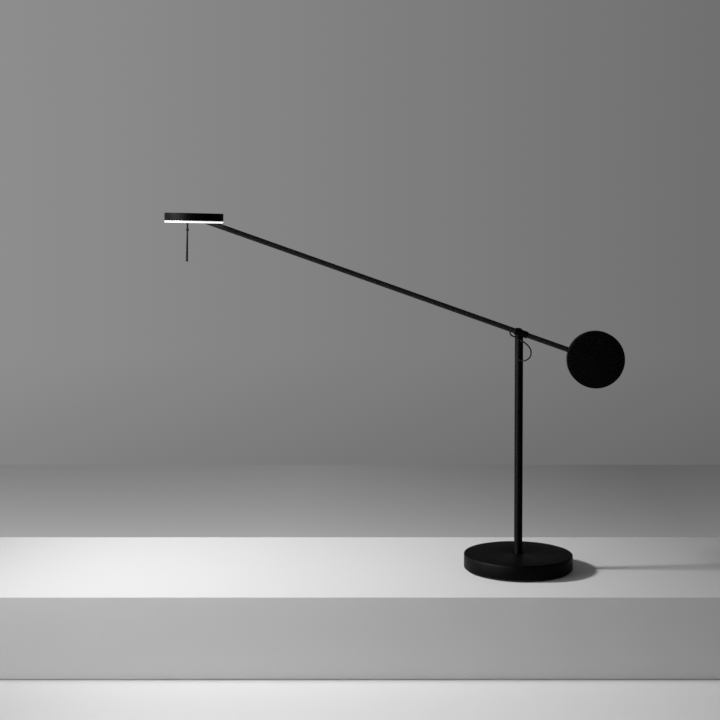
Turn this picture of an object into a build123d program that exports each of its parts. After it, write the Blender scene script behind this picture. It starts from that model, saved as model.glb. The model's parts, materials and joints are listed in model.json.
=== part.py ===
from build123d import *
import math
import os

# Counterweight balance desk lamp, in millimetres.
# The origin is the centre of the foot pad's underside, on the stem's axis. The lamp head is
# towards -X, the counterweight towards +X, and the arm passes the stem on its -Y side.

os.makedirs("parts", exist_ok=True)

# ---------------------------------------------------------------- driving dimensions

slip_gap = 0.05  # per side, where a round piece is pushed or turns in its hole
easy_gap = 0.3  # per side, where a piece only has to clear its pocket

# base
base_radius = 105.0
base_cover_height = 27.0
base_cover_wall = 3.0
base_cover_top = 3.0
base_edge_radius = 2.5
base_lower_chamfer = 0.6
foot_height = 4.0
foot_inset = 4.5
bottom_plate_thickness = 2.0
base_screw_ring_radius = 80.0
base_screw_count = 4
base_screw_radius = 2.5
base_screw_head_radius = 5.0
base_screw_thread_depth = 6.0
base_screw_socket_radius = 1.75
base_screw_socket_depth = 1.5
countersink_taper = 45.0
cover_boss_radius = 6.0
cover_boss_length = 8.0
cover_boss_bottom_wall = 1.0
gland_height = 13.0
gland_neck_radius = 5.0
gland_flange_radius = 6.5
gland_flange_thickness = 1.5
gland_flange_round = 0.5
gland_collar_radius = 5.8
gland_collar_length = 2.0
gland_bore_radius = 2.6
gland_seat_depth = 0.5
gland_notch_depth = 4.0
lead_channel_width = 9.0
lead_channel_height = 9.0

# swivel at the stem's foot
swivel_recess_radius = 11.0
swivel_shaft_radius = 5.0
swivel_thread_radius = 4.0
swivel_end_play = 0.1
swivel_lead_bore_radius = 2.2
bush_radius = 7.0
bush_flange_radius = 13.0
bush_flange_thickness = 2.0
thrust_ring_radius = 10.0
thrust_ring_thickness = 1.0
nut_pocket_radius = 13.0
nut_pocket_depth = 8.0
stop_washer_radius = 8.0
stop_washer_thickness = 1.2
stop_tab_reach = 11.5
stop_tab_width = 4.0
stop_pin_radius = 1.5
stop_pin_offset = 10.2
stop_pin_grip = 4.0
stop_pin_reach = 1.8
spring_washer_radius = 7.0
spring_washer_thickness = 1.0
swivel_nut_across_flats = 13.0
swivel_nut_height = 5.0
swivel_thread_end_gap = 0.5

# stem
stem_radius = 8.0
stem_wall = 1.5
stem_collar_height = 3.0
stem_plug_length = 25.0
pivot_height = 461.0
stem_top_height = 22.0
stem_top_plug_length = 24.0
stem_screw_radius = 2.0
stem_screw_length = 4.0
stem_screw_drop = 12.0

# arm pivot
spot_face_radius = 6.3
spot_face_half_depth = 5.5
washer_thickness = 0.6
pivot_shaft_radius = 3.0
pivot_thread_radius = 2.5
pivot_thread_grip = 3.7
pivot_shoulder_play = 0.1
wave_washer_thickness = 0.9
pivot_nut_across_flats = 8.0
pivot_nut_hex_height = 4.0
pivot_nut_dome_height = 2.6
pivot_nut_dome_round = 2.3
pivot_nut_end_wall = 1.2

# arm
arm_rise = 19.45  # degrees above the horizontal, towards the head
arm_radius = 5.0
arm_wall = 1.0
arm_stem_gap = 0.6
sleeve_radius = 6.7
sleeve_head_side = 10.0
sleeve_weight_side = 16.0
sleeve_chamfer = 0.6
sleeve_screw_radius = 1.5
sleeve_screw_inset = 4.0
head_reach = 665.0
arm_tip_setback = 14.0
arm_tip_shank = 20.0
arm_tip_collar = 1.0
arm_tip_bore_radius = 1.5
arm_tip_screw_radius = 1.5
arm_tip_screw_length = 2.2
lead_slot_length = 7.0

# counterweight
counterweight_reach = 154.0
counterweight_radius = 55.0
counterweight_thickness = 17.8
counterweight_chamfer = 0.6
counterweight_socket = 28.0
counterweight_screw_radius = 2.5
counterweight_screw_insets = (8.0, 20.0)

# lead
lead_radius = 1.4
lead_bore_gap = 0.1
arm_bushing_x = -18.3
arm_bushing_radius = 2.4
arm_bushing_length = 3.4
arm_bushing_proud = 0.7
arm_bushing_round = 0.35
arm_lead_height = 1.2
arm_lead_bend = 5.0
stem_bushing_gap = 8.0  # from the end of the stem top's plug to the bushing's axis
stem_bushing_angle = 22.0  # degrees from -Y towards +X
stem_bushing_radius = 2.4
stem_bushing_flange_radius = 3.6
stem_bushing_seat = 7.2
stem_bushing_proud = 1.6
stem_bushing_round = 0.8
stem_bushing_tail = 1.6
stem_lead_bend = 5.0
stem_lead_bottom_gap = 2.0
loop_straight_end = 3.0
loop_arc_share = 0.45  # of the shorter run beside a corner, taken up by its arc

# lamp head
head_droop = 1.15  # degrees, its arm side lower
head_radius = 56.5
head_height = 15.0
head_top_wall = 2.0
head_side_wall = 2.0
head_edge_chamfer = 0.4
diffuser_proud = 3.5
diffuser_face = 2.5
diffuser_ring = 2.0
diffuser_ring_height = 4.5
diffuser_lip_inset = 0.2
diffuser_edge_radius = 0.5
spreader_thickness = 3.0
spreader_inset = 0.5
board_thickness = 1.2
board_radius = 52.0
board_screw_radius = 1.25
board_screw_head_radius = 2.2
board_screw_head_height = 1.2
board_screw_grip = 2.2
board_screw_ring_radius = 48.0
board_screw_count = 4
led_side = 2.8
led_height = 0.8
led_inner_ring_radius = 30.0
led_inner_ring_count = 12
led_outer_ring_radius = 41.0
led_outer_ring_count = 24

# head hinge
hinge_pin_radius = 2.0
hinge_eye_radius = 5.0
hinge_eye_width = 8.0
hinge_washer_radius = 4.5
hinge_washer_thickness = 2.2
hinge_side_play = 0.05
cheek_thickness = 2.5
cheek_radius = 5.0
bracket_thickness = 1.5
bracket_length = 18.0
bracket_width = 35.0
bracket_screw_x = 5.6
bracket_screw_y = 13.0
bracket_screw_radius = 1.25
bracket_screw_head_radius = 2.2
bracket_screw_head_height = 1.4
bracket_screw_grip = 2.2

# slot in the underside of the head
nearest_arm_angle = 17.0  # degrees between the arm and the head's plane
slot_arm_gap = 0.6
liner_wall = 0.7
liner_roof_gap = 0.4
liner_start = 13.5
liner_low_height = 5.5
liner_cut_margin = 1.0
board_opening_back = 18.0
board_opening_front = 18.0
board_opening_half_width = 18.5

# handle rod
handle_x = -12.4
handle_stud_radius = 1.5
handle_stud_grip = 2.0
handle_socket_radius = 3.0
handle_neck_radius = 1.8
handle_neck_length = 11.4
handle_collar_radius = 3.0
handle_collar_height = 4.5
handle_collar_chamfer = 0.4
handle_waist_length = 2.5
handle_waist_radius = 1.45
handle_rod_top_radius = 1.6
handle_rod_low_radius = 2.2
handle_rod_length = 49.8
handle_groove_length = 1.6
handle_groove_radius = 1.7
handle_tip_radius = 2.35
handle_tip_height = 5.2
handle_tip_round = 1.7
handle_tip_stud_radius = 1.0
handle_tip_stud_length = 2.5

# ---------------------------------------------------------------- heights and frames

plate_bottom = foot_height
weight_bottom = plate_bottom + bottom_plate_thickness
base_top = foot_height + base_cover_height
cover_underside = base_top - base_cover_top
plate_radius = base_radius - base_cover_wall - easy_gap
bush_bottom = weight_bottom + nut_pocket_depth
thrust_ring_top = cover_underside + thrust_ring_thickness
stem_tube_bottom = thrust_ring_top + stem_collar_height
stem_tube_top = pivot_height - stem_top_height
stem_bore_radius = stem_radius - stem_wall
stem_bushing_height = stem_tube_top - stem_top_plug_length - stem_bushing_gap

arm_offset = -(stem_radius + arm_stem_gap + sleeve_radius)
arm_bore_radius = arm_radius - arm_wall
arm_pivot = Vector(0, arm_offset, pivot_height)
rise = math.radians(arm_rise)
along_arm = Vector(math.cos(rise), 0, -math.sin(rise))  # towards the counterweight
above_arm = Vector(math.sin(rise), 0, math.cos(rise))

droop = math.radians(head_droop)
across_head = Vector(math.cos(droop), 0, -math.sin(droop))  # towards the arm
head_up = Vector(math.sin(droop), 0, math.cos(droop))
head_centre = arm_pivot - along_arm * head_reach
head_top = head_height / 2
head_bottom = -head_height / 2
spreader_top = head_top - head_top_wall
spreader_bottom = spreader_top - spreader_thickness
board_bottom = spreader_bottom - board_thickness
diffuser_bottom = head_bottom - diffuser_proud
diffuser_inside = diffuser_bottom + diffuser_face
cheek_inner = hinge_eye_width / 2 + hinge_side_play * 2 + hinge_washer_thickness
slot_half_width = arm_radius + slot_arm_gap + liner_wall + easy_gap / 2
slot_back = -(arm_radius + slot_arm_gap * 2 + liner_wall + easy_gap / 2)


def across_arm(distance):
    """Plane square to the arm, this far from the pivot towards the counterweight."""
    return Plane(origin=arm_pivot + along_arm * distance, x_dir=(0, 1, 0), z_dir=along_arm)


def beside_arm(distance):
    """Plane seen from the side, centred on the arm, X along the arm and Y above it."""
    return Plane(origin=arm_pivot + along_arm * distance, x_dir=along_arm, z_dir=(0, -1, 0))


def head_level(height):
    """Plane parallel to the head, this far above the middle of its housing."""
    return Plane(origin=head_centre + head_up * height, x_dir=across_head, z_dir=head_up)


def head_side(distance):
    """Plane seen from the side, this far from the head's middle towards +Y."""
    origin = head_centre + Vector(0, distance, 0)
    return Plane(origin=origin, x_dir=across_head, z_dir=(0, -1, 0))


def pivot_level(distance):
    """Plane square to the arm's pivot, this far from the stem's axis towards +Y."""
    return Plane(origin=(0, distance, pivot_height), x_dir=(-1, 0, 0), z_dir=(0, 1, 0))


def save(piece, node):
    """Names a finished piece and writes it as its own file."""
    piece.part.label = node
    export_step(piece.part, f"parts/{node}.step")


def add_disc(plane, radius, height, bore=0.0, mode=Mode.ADD):
    """A disc, or a ring where a bore is given, standing on a plane, in the open part."""
    with BuildSketch(plane) as profile:
        Circle(radius)
        if bore > 0:
            Circle(bore, mode=Mode.SUBTRACT)
    extrude(profile.sketch, amount=height, mode=mode)


# ---------------------------------------------------------------- base

base_screw_places = PolarLocations(base_screw_ring_radius, base_screw_count, start_angle=45)
gland_face = Plane(
    origin=(0, base_radius - gland_seat_depth, gland_height), x_dir=(-1, 0, 0), z_dir=(0, 1, 0)
)

with BuildPart() as base_cover:
    add_disc(Plane.XY.offset(plate_bottom), base_radius, base_cover_height)
    fillet(base_cover.edges().group_by(Axis.Z)[-1], base_edge_radius)
    chamfer(base_cover.edges().group_by(Axis.Z)[0], base_lower_chamfer)
    add_disc(
        Plane.XY.offset(plate_bottom),
        base_radius - base_cover_wall,
        base_cover_height - base_cover_top,
        mode=Mode.SUBTRACT,
    )
    with BuildSketch(Plane.XY.offset(cover_underside)):
        with base_screw_places:
            Circle(cover_boss_radius)
    extrude(amount=-cover_boss_length)
    with BuildSketch(Plane.XY.offset(cover_underside - cover_boss_length)):
        with base_screw_places:
            Circle(base_screw_radius + slip_gap)
    extrude(amount=cover_boss_length - cover_boss_bottom_wall, mode=Mode.SUBTRACT)
    add_disc(
        Plane.XY.offset(cover_underside), swivel_recess_radius, base_cover_top, mode=Mode.SUBTRACT
    )
    add_disc(gland_face, gland_flange_radius + slip_gap, 2 * gland_seat_depth, mode=Mode.SUBTRACT)
    add_disc(gland_face, gland_neck_radius + slip_gap, -2 * base_cover_wall, mode=Mode.SUBTRACT)
save(base_cover, "base_cover")

with BuildPart() as base_weight:
    add_disc(
        Plane.XY.offset(weight_bottom),
        plate_radius,
        cover_underside - weight_bottom,
        bore=bush_radius + slip_gap,
    )
    add_disc(
        Plane.XY.offset(cover_underside - bush_flange_thickness),
        bush_flange_radius + easy_gap,
        bush_flange_thickness,
        mode=Mode.SUBTRACT,
    )
    add_disc(
        Plane.XY.offset(weight_bottom), nut_pocket_radius, nut_pocket_depth, mode=Mode.SUBTRACT
    )
    with BuildSketch(Plane.XY.offset(weight_bottom)):
        with Locations((0, plate_radius / 2)):
            Rectangle(lead_channel_width, plate_radius)
    extrude(amount=lead_channel_height, mode=Mode.SUBTRACT)
    with BuildSketch(Plane.XY.offset(weight_bottom)):
        with Locations((0, plate_radius)):
            Rectangle(2 * gland_flange_radius, 2 * gland_notch_depth)
    extrude(
        amount=gland_height + gland_flange_radius - weight_bottom,
        mode=Mode.SUBTRACT,
    )
    with BuildSketch(Plane.XY.offset(weight_bottom)):
        with base_screw_places:
            Circle(base_screw_radius + 2 * easy_gap)
    extrude(amount=cover_underside - weight_bottom, mode=Mode.SUBTRACT)
    with BuildSketch(Plane.XY.offset(cover_underside)):
        with base_screw_places:
            Circle(cover_boss_radius + easy_gap)
    extrude(amount=-(cover_boss_length + easy_gap), mode=Mode.SUBTRACT)
    with BuildSketch(Plane.XY.offset(bush_bottom)):
        with Locations((stop_pin_offset, 0)):
            Circle(stop_pin_radius + slip_gap)
    extrude(amount=stop_pin_grip, mode=Mode.SUBTRACT)
save(base_weight, "base_weight")

with BuildPart() as bottom_plate:
    add_disc(Plane.XY.offset(plate_bottom), plate_radius, bottom_plate_thickness)
    with BuildSketch(Plane.XY.offset(plate_bottom)):
        with base_screw_places:
            Circle(base_screw_head_radius + slip_gap)
    extrude(amount=bottom_plate_thickness, taper=countersink_taper, mode=Mode.SUBTRACT)
save(bottom_plate, "bottom_plate")

with BuildPart() as foot_pad:
    add_disc(Plane.XY, base_radius - foot_inset, foot_height)
save(foot_pad, "foot_pad")

screw_cone_height = base_screw_head_radius - base_screw_radius
screw_tip = cover_underside - cover_boss_length + base_screw_thread_depth

with BuildPart() as base_screws:
    with BuildSketch(Plane.XY.offset(plate_bottom)):
        with base_screw_places:
            Circle(base_screw_head_radius)
    extrude(amount=screw_cone_height, taper=countersink_taper)
    with BuildSketch(Plane.XY.offset(plate_bottom + screw_cone_height)):
        with base_screw_places:
            Circle(base_screw_radius)
    extrude(amount=screw_tip - plate_bottom - screw_cone_height)
    with BuildSketch(Plane.XY.offset(plate_bottom)):
        with base_screw_places:
            RegularPolygon(base_screw_socket_radius, 6)
    extrude(amount=base_screw_socket_depth, mode=Mode.SUBTRACT)
save(base_screws, "base_screws")

with BuildPart() as cord_gland:
    add_disc(gland_face, gland_flange_radius, gland_flange_thickness)
    fillet(cord_gland.edges().group_by(Axis.Y)[-1], gland_flange_round)
    add_disc(gland_face, gland_neck_radius, -(base_cover_wall - gland_seat_depth + easy_gap))
    add_disc(
        gland_face.offset(-(base_cover_wall - gland_seat_depth + easy_gap)),
        gland_collar_radius,
        -gland_collar_length,
    )
    add_disc(
        gland_face.offset(gland_flange_thickness),
        gland_bore_radius,
        -(gland_flange_thickness + base_cover_wall + gland_collar_length + easy_gap),
        mode=Mode.SUBTRACT,
    )
save(cord_gland, "cord_gland")

# ---------------------------------------------------------------- swivel at the stem's foot

shaft_bottom = bush_bottom - swivel_end_play
stop_washer_bottom = shaft_bottom - stop_washer_thickness
spring_washer_bottom = stop_washer_bottom - spring_washer_thickness
swivel_nut_bottom = spring_washer_bottom - swivel_nut_height

with BuildPart() as swivel_bush:
    add_disc(
        Plane.XY.offset(cover_underside),
        bush_flange_radius,
        -bush_flange_thickness,
        bore=swivel_shaft_radius + slip_gap,
    )
    add_disc(
        Plane.XY.offset(bush_bottom),
        bush_radius,
        cover_underside - bush_bottom,
        bore=swivel_shaft_radius + slip_gap,
    )
save(swivel_bush, "swivel_bush")

with BuildPart() as thrust_ring:
    add_disc(
        Plane.XY.offset(cover_underside),
        thrust_ring_radius,
        thrust_ring_thickness,
        bore=swivel_shaft_radius + slip_gap * 2,
    )
save(thrust_ring, "thrust_ring")

with BuildPart() as stop_pin:
    with BuildSketch(Plane.XY.offset(bush_bottom + stop_pin_grip)):
        with Locations((stop_pin_offset, 0)):
            Circle(stop_pin_radius)
    extrude(amount=-(stop_pin_grip + stop_pin_reach))
save(stop_pin, "stop_pin")

with BuildPart() as stem_foot:
    add_disc(Plane.XY.offset(thrust_ring_top), stem_radius, stem_collar_height)
    add_disc(Plane.XY.offset(stem_tube_bottom), stem_bore_radius - slip_gap, stem_plug_length)
    add_disc(Plane.XY.offset(thrust_ring_top), swivel_shaft_radius, shaft_bottom - thrust_ring_top)
    add_disc(
        Plane.XY.offset(shaft_bottom),
        swivel_thread_radius,
        swivel_nut_bottom + swivel_thread_end_gap - shaft_bottom,
    )
    add_disc(
        Plane.XY.offset(swivel_nut_bottom),
        swivel_lead_bore_radius,
        stem_tube_bottom + stem_plug_length - swivel_nut_bottom,
        mode=Mode.SUBTRACT,
    )
save(stem_foot, "stem_foot")

with BuildPart() as stop_washer:
    with BuildSketch(Plane.XY.offset(stop_washer_bottom)):
        Circle(stop_washer_radius)
        with Locations((-stop_tab_reach / 2, 0)):
            Rectangle(stop_tab_reach, stop_tab_width)
        Circle(swivel_thread_radius + slip_gap, mode=Mode.SUBTRACT)
    extrude(amount=stop_washer_thickness)
save(stop_washer, "stop_washer")

with BuildPart() as spring_washer:
    add_disc(
        Plane.XY.offset(spring_washer_bottom),
        spring_washer_radius,
        spring_washer_thickness,
        bore=swivel_thread_radius + slip_gap,
    )
save(spring_washer, "spring_washer")

with BuildPart() as swivel_nut:
    with BuildSketch(Plane.XY.offset(swivel_nut_bottom)):
        RegularPolygon(swivel_nut_across_flats / 2, 6, major_radius=False)
        Circle(swivel_thread_radius + slip_gap, mode=Mode.SUBTRACT)
    extrude(amount=swivel_nut_height)
save(swivel_nut, "swivel_nut")

# ---------------------------------------------------------------- stem

bushing_turn = math.radians(stem_bushing_angle)
bushing_out = Vector(math.sin(bushing_turn), -math.cos(bushing_turn), 0)


def bushing_level(distance):
    """Plane square to the stem's lead bushing, this far from the stem's axis."""
    origin = bushing_out * distance + Vector(0, 0, stem_bushing_height)
    return Plane(origin=origin, x_dir=(0, 0, 1), z_dir=bushing_out)


stem_screw_height = stem_tube_top - stem_screw_drop
stem_screw_face = Plane(
    origin=(0, stem_radius, stem_screw_height), x_dir=(-1, 0, 0), z_dir=(0, 1, 0)
)

with BuildPart() as stem_tube:
    add_disc(
        Plane.XY.offset(stem_tube_bottom),
        stem_radius,
        stem_tube_top - stem_tube_bottom,
        bore=stem_bore_radius,
    )
    add_disc(bushing_level(0), stem_bushing_radius + slip_gap, stem_radius, mode=Mode.SUBTRACT)
    add_disc(
        bushing_level(stem_bushing_seat),
        stem_bushing_flange_radius + slip_gap,
        stem_radius,
        mode=Mode.SUBTRACT,
    )
    add_disc(stem_screw_face, stem_screw_radius + slip_gap, -stem_radius, mode=Mode.SUBTRACT)
save(stem_tube, "stem_tube")

with BuildPart() as stem_top:
    add_disc(Plane.XY.offset(stem_tube_top), stem_radius, stem_top_height)
    with Locations((0, 0, pivot_height)):
        Sphere(stem_radius)
    add_disc(
        Plane.XY.offset(stem_tube_top), stem_bore_radius - slip_gap, -stem_top_plug_length
    )
    add_disc(
        pivot_level(-stem_radius), pivot_shaft_radius + slip_gap, 2 * stem_radius,
        mode=Mode.SUBTRACT,
    )
    for side in (-1, 1):
        add_disc(
            pivot_level(side * spot_face_half_depth),
            spot_face_radius,
            side * stem_radius,
            mode=Mode.SUBTRACT,
        )
    add_disc(
        stem_screw_face,
        stem_screw_radius + slip_gap,
        -(easy_gap + stem_screw_length),
        mode=Mode.SUBTRACT,
    )
save(stem_top, "stem_top")

with BuildPart() as stem_top_screw:
    add_disc(stem_screw_face.offset(-easy_gap), stem_screw_radius, -stem_screw_length)
    with BuildSketch(stem_screw_face.offset(-easy_gap)):
        RegularPolygon(stem_screw_radius / 2, 6)
    extrude(amount=-stem_screw_length / 2, mode=Mode.SUBTRACT)
save(stem_top_screw, "stem_top_screw")

with BuildPart() as stem_lead_bushing:
    add_disc(bushing_level(stem_bushing_seat), stem_bushing_flange_radius, stem_bushing_proud)
    fillet(
        stem_lead_bushing.edges().filter_by(GeomType.CIRCLE).sort_by(
            lambda edge: edge.center().dot(bushing_out)
        )[-1],
        stem_bushing_round,
    )
    add_disc(bushing_level(stem_bushing_seat), stem_bushing_radius, -stem_bushing_tail)
    add_disc(
        bushing_level(0), lead_radius + lead_bore_gap, 2 * stem_radius, mode=Mode.SUBTRACT
    )
save(stem_lead_bushing, "stem_lead_bushing")

# ---------------------------------------------------------------- arm pivot

boss_face = -(spot_face_half_depth + washer_thickness)
nut_face = spot_face_half_depth + washer_thickness + wave_washer_thickness

with BuildPart() as friction_washers:
    for side in (-1, 1):
        add_disc(
            pivot_level(side * spot_face_half_depth),
            spot_face_radius - easy_gap,
            side * washer_thickness,
            bore=pivot_shaft_radius + slip_gap * 2,
        )
save(friction_washers, "friction_washers")

with BuildPart() as arm_sleeve:
    add_disc(
        across_arm(-sleeve_head_side), sleeve_radius, sleeve_head_side + sleeve_weight_side
    )
    chamfer(arm_sleeve.edges(), sleeve_chamfer)
    add_disc(pivot_level(boss_face), spot_face_radius - easy_gap, arm_offset - boss_face)
    add_disc(
        across_arm(-sleeve_head_side),
        arm_radius + slip_gap,
        sleeve_head_side + sleeve_weight_side,
        mode=Mode.SUBTRACT,
    )
    add_disc(
        pivot_level(boss_face), pivot_thread_radius + slip_gap, -pivot_thread_grip,
        mode=Mode.SUBTRACT,
    )
    for place in (sleeve_screw_inset - sleeve_head_side, sleeve_weight_side - sleeve_screw_inset):
        under_sleeve = Plane(
            origin=arm_pivot + along_arm * place, x_dir=along_arm, z_dir=above_arm * -1
        )
        add_disc(
            under_sleeve, sleeve_screw_radius + slip_gap, sleeve_radius * 2, mode=Mode.SUBTRACT
        )
save(arm_sleeve, "arm_sleeve")

with BuildPart() as sleeve_screws:
    for place in (sleeve_screw_inset - sleeve_head_side, sleeve_weight_side - sleeve_screw_inset):
        under_sleeve = Plane(
            origin=arm_pivot + along_arm * place, x_dir=along_arm, z_dir=above_arm * -1
        )
        add_disc(
            under_sleeve.offset(arm_radius + slip_gap),
            sleeve_screw_radius,
            sleeve_radius - arm_radius - easy_gap,
        )
save(sleeve_screws, "sleeve_screws")

pivot_shoulder = nut_face - wave_washer_thickness - pivot_shoulder_play
pivot_bolt_end = nut_face + pivot_nut_hex_height + pivot_nut_dome_height - pivot_nut_end_wall

with BuildPart() as pivot_bolt:
    add_disc(pivot_level(boss_face), pivot_shaft_radius, pivot_shoulder - boss_face)
    add_disc(pivot_level(boss_face), pivot_thread_radius, slip_gap - pivot_thread_grip)
    add_disc(
        pivot_level(pivot_shoulder), pivot_thread_radius,
        pivot_bolt_end - easy_gap - pivot_shoulder,
    )
save(pivot_bolt, "pivot_bolt")

with BuildPart() as wave_washer:
    add_disc(
        pivot_level(nut_face),
        spot_face_radius - 2 * easy_gap,
        -wave_washer_thickness,
        bore=pivot_thread_radius + slip_gap,
    )
save(wave_washer, "wave_washer")

dome_radius = pivot_nut_across_flats / 2 - easy_gap

with BuildPart() as pivot_nut:
    with BuildSketch(pivot_level(nut_face)):
        RegularPolygon(pivot_nut_across_flats / 2, 6, major_radius=False)
    extrude(amount=pivot_nut_hex_height)
    add_disc(
        pivot_level(nut_face + pivot_nut_hex_height), dome_radius, pivot_nut_dome_height
    )
    fillet(pivot_nut.edges().group_by(Axis.Y)[-1], pivot_nut_dome_round)
    add_disc(
        pivot_level(nut_face), pivot_thread_radius + slip_gap, pivot_bolt_end - nut_face,
        mode=Mode.SUBTRACT,
    )
save(pivot_nut, "pivot_nut")

# ---------------------------------------------------------------- arm

arm_head_end = -(head_reach - arm_tip_setback)
arm_weight_end = counterweight_reach - counterweight_radius + counterweight_socket
tip_screw_place = arm_head_end + arm_tip_shank / 2
bushing_line = Plane(
    origin=(arm_bushing_x, arm_offset, pivot_height), x_dir=(1, 0, 0), z_dir=(0, 0, 1)
)
arm_underside_at_bushing = -arm_bushing_x * math.tan(rise) - arm_radius / math.cos(rise)
arm_bushing_bottom = arm_underside_at_bushing - arm_bushing_proud


def above_arm_at(distance, height):
    """Plane facing up from the arm, this far along it and above its axis."""
    origin = arm_pivot + along_arm * distance + above_arm * height
    return Plane(origin=origin, x_dir=along_arm, z_dir=above_arm)


with BuildPart() as arm_tube:
    add_disc(
        across_arm(arm_head_end), arm_radius, arm_weight_end - arm_head_end, bore=arm_bore_radius
    )
    add_disc(
        bushing_line.offset(arm_bushing_bottom),
        arm_bushing_radius + slip_gap,
        arm_bushing_length + arm_wall,
        mode=Mode.SUBTRACT,
    )
    add_disc(
        above_arm_at(tip_screw_place, 0),
        arm_tip_screw_radius + slip_gap,
        2 * arm_radius,
        mode=Mode.SUBTRACT,
    )
save(arm_tube, "arm_tube")

with BuildPart() as arm_lead_bushing:
    add_disc(
        bushing_line.offset(arm_bushing_bottom),
        arm_bushing_radius,
        arm_bushing_length,
        bore=lead_radius + lead_bore_gap,
    )
    outer_rim = arm_lead_bushing.edges().group_by(Axis.Z)[0].sort_by(SortBy.LENGTH)[-1]
    fillet(outer_rim, arm_bushing_round)
save(arm_lead_bushing, "arm_lead_bushing")

with BuildPart() as arm_tip:
    add_disc(
        across_arm(arm_head_end), arm_bore_radius - slip_gap, arm_tip_shank
    )
    add_disc(across_arm(arm_head_end), arm_radius, -arm_tip_collar)
    add_disc(across_arm(arm_head_end), hinge_eye_width / 2, -arm_tip_setback)
    with BuildSketch(beside_arm(-head_reach)):
        Circle(hinge_eye_radius)
    extrude(amount=hinge_eye_width / 2, both=True)
    with BuildSketch(beside_arm(-head_reach)):
        Circle(hinge_pin_radius + slip_gap)
    extrude(amount=hinge_eye_width, both=True, mode=Mode.SUBTRACT)
    add_disc(
        across_arm(arm_head_end + arm_tip_shank),
        arm_tip_bore_radius,
        -(arm_tip_shank + lead_slot_length),
        mode=Mode.SUBTRACT,
    )
    with BuildSketch(above_arm_at(arm_head_end - arm_tip_collar - lead_slot_length / 2, 0)):
        Rectangle(lead_slot_length, 2 * arm_tip_bore_radius)
    extrude(amount=2 * hinge_eye_radius, mode=Mode.SUBTRACT)
    add_disc(
        above_arm_at(tip_screw_place, arm_radius - easy_gap - arm_tip_screw_length),
        arm_tip_screw_radius + slip_gap,
        2 * arm_radius,
        mode=Mode.SUBTRACT,
    )
save(arm_tip, "arm_tip")

with BuildPart() as arm_tip_screw:
    add_disc(
        above_arm_at(tip_screw_place, arm_radius - easy_gap),
        arm_tip_screw_radius,
        -arm_tip_screw_length,
    )
save(arm_tip_screw, "arm_tip_screw")

# ---------------------------------------------------------------- counterweight

weight_rim = counterweight_reach - counterweight_radius
weight_screw_length = counterweight_thickness / 2 - arm_radius - slip_gap - easy_gap


def weight_back(distance):
    """Plane on the counterweight's middle, this far from its rim, facing its back."""
    origin = arm_pivot + along_arm * (weight_rim + distance)
    return Plane(origin=origin, x_dir=along_arm, z_dir=(0, 1, 0))


with BuildPart() as counterweight:
    with BuildSketch(beside_arm(counterweight_reach)):
        Circle(counterweight_radius)
    extrude(amount=counterweight_thickness / 2, both=True)
    chamfer(counterweight.edges().filter_by(GeomType.CIRCLE), counterweight_chamfer)
    add_disc(
        across_arm(weight_rim - easy_gap),
        arm_radius + slip_gap,
        counterweight_socket + 2 * easy_gap,
        mode=Mode.SUBTRACT,
    )
    for inset in counterweight_screw_insets:
        add_disc(
            weight_back(inset), counterweight_screw_radius + slip_gap, counterweight_thickness,
            mode=Mode.SUBTRACT,
        )
save(counterweight, "counterweight")

with BuildPart() as counterweight_screws:
    for inset in counterweight_screw_insets:
        add_disc(
            weight_back(inset).offset(arm_radius + slip_gap),
            counterweight_screw_radius,
            weight_screw_length,
        )
        with BuildSketch(weight_back(inset).offset(arm_radius + slip_gap + weight_screw_length)):
            RegularPolygon(counterweight_screw_radius / 2, 6)
        extrude(amount=-weight_screw_length / 2, mode=Mode.SUBTRACT)
save(counterweight_screws, "counterweight_screws")

# ---------------------------------------------------------------- lamp head

slot_reach = head_radius


def add_slot(level, depth, half_width):
    """Cuts the arm's slot, from behind the hinge out through the rim, in the open part."""
    with BuildSketch(head_level(level)) as profile:
        with Locations(((slot_back + slot_reach) / 2, 0)):
            Rectangle(slot_reach - slot_back, 2 * half_width)
    extrude(profile.sketch, amount=depth, mode=Mode.SUBTRACT)


def add_opening(level, depth, back, front, half_width):
    """Cuts a rectangular opening round the hinge, in the open part."""
    with BuildSketch(head_level(level)) as profile:
        with Locations(((front - back) / 2, 0)):
            Rectangle(front + back, 2 * half_width)
    extrude(profile.sketch, amount=depth, mode=Mode.SUBTRACT)


with BuildPart() as head_housing:
    add_disc(head_level(head_bottom), head_radius, head_height)
    chamfer(head_housing.edges().group_by(Axis((0, 0, 0), head_up))[-1], head_edge_chamfer)
    add_disc(
        head_level(head_bottom),
        head_radius - head_side_wall,
        head_height - head_top_wall,
        mode=Mode.SUBTRACT,
    )
save(head_housing, "head_housing")

with BuildPart() as heat_spreader:
    add_disc(
        head_level(spreader_bottom),
        head_radius - head_side_wall - spreader_inset,
        spreader_thickness,
    )
    add_opening(
        spreader_bottom,
        spreader_thickness,
        hinge_eye_radius + 2 * slot_arm_gap,
        liner_start,
        cheek_inner,
    )
    with BuildSketch(head_level(spreader_bottom)):
        with Locations((handle_x, 0)):
            Circle(handle_stud_radius + slip_gap)
    extrude(amount=handle_stud_grip + easy_gap, mode=Mode.SUBTRACT)
    with BuildSketch(head_level(spreader_bottom)):
        with GridLocations(2 * bracket_screw_x, 2 * bracket_screw_y, 2, 2):
            Circle(bracket_screw_radius + slip_gap)
        with PolarLocations(board_screw_ring_radius, board_screw_count, start_angle=45):
            Circle(board_screw_radius + slip_gap)
    extrude(amount=bracket_screw_grip + easy_gap, mode=Mode.SUBTRACT)
save(heat_spreader, "heat_spreader")

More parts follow.
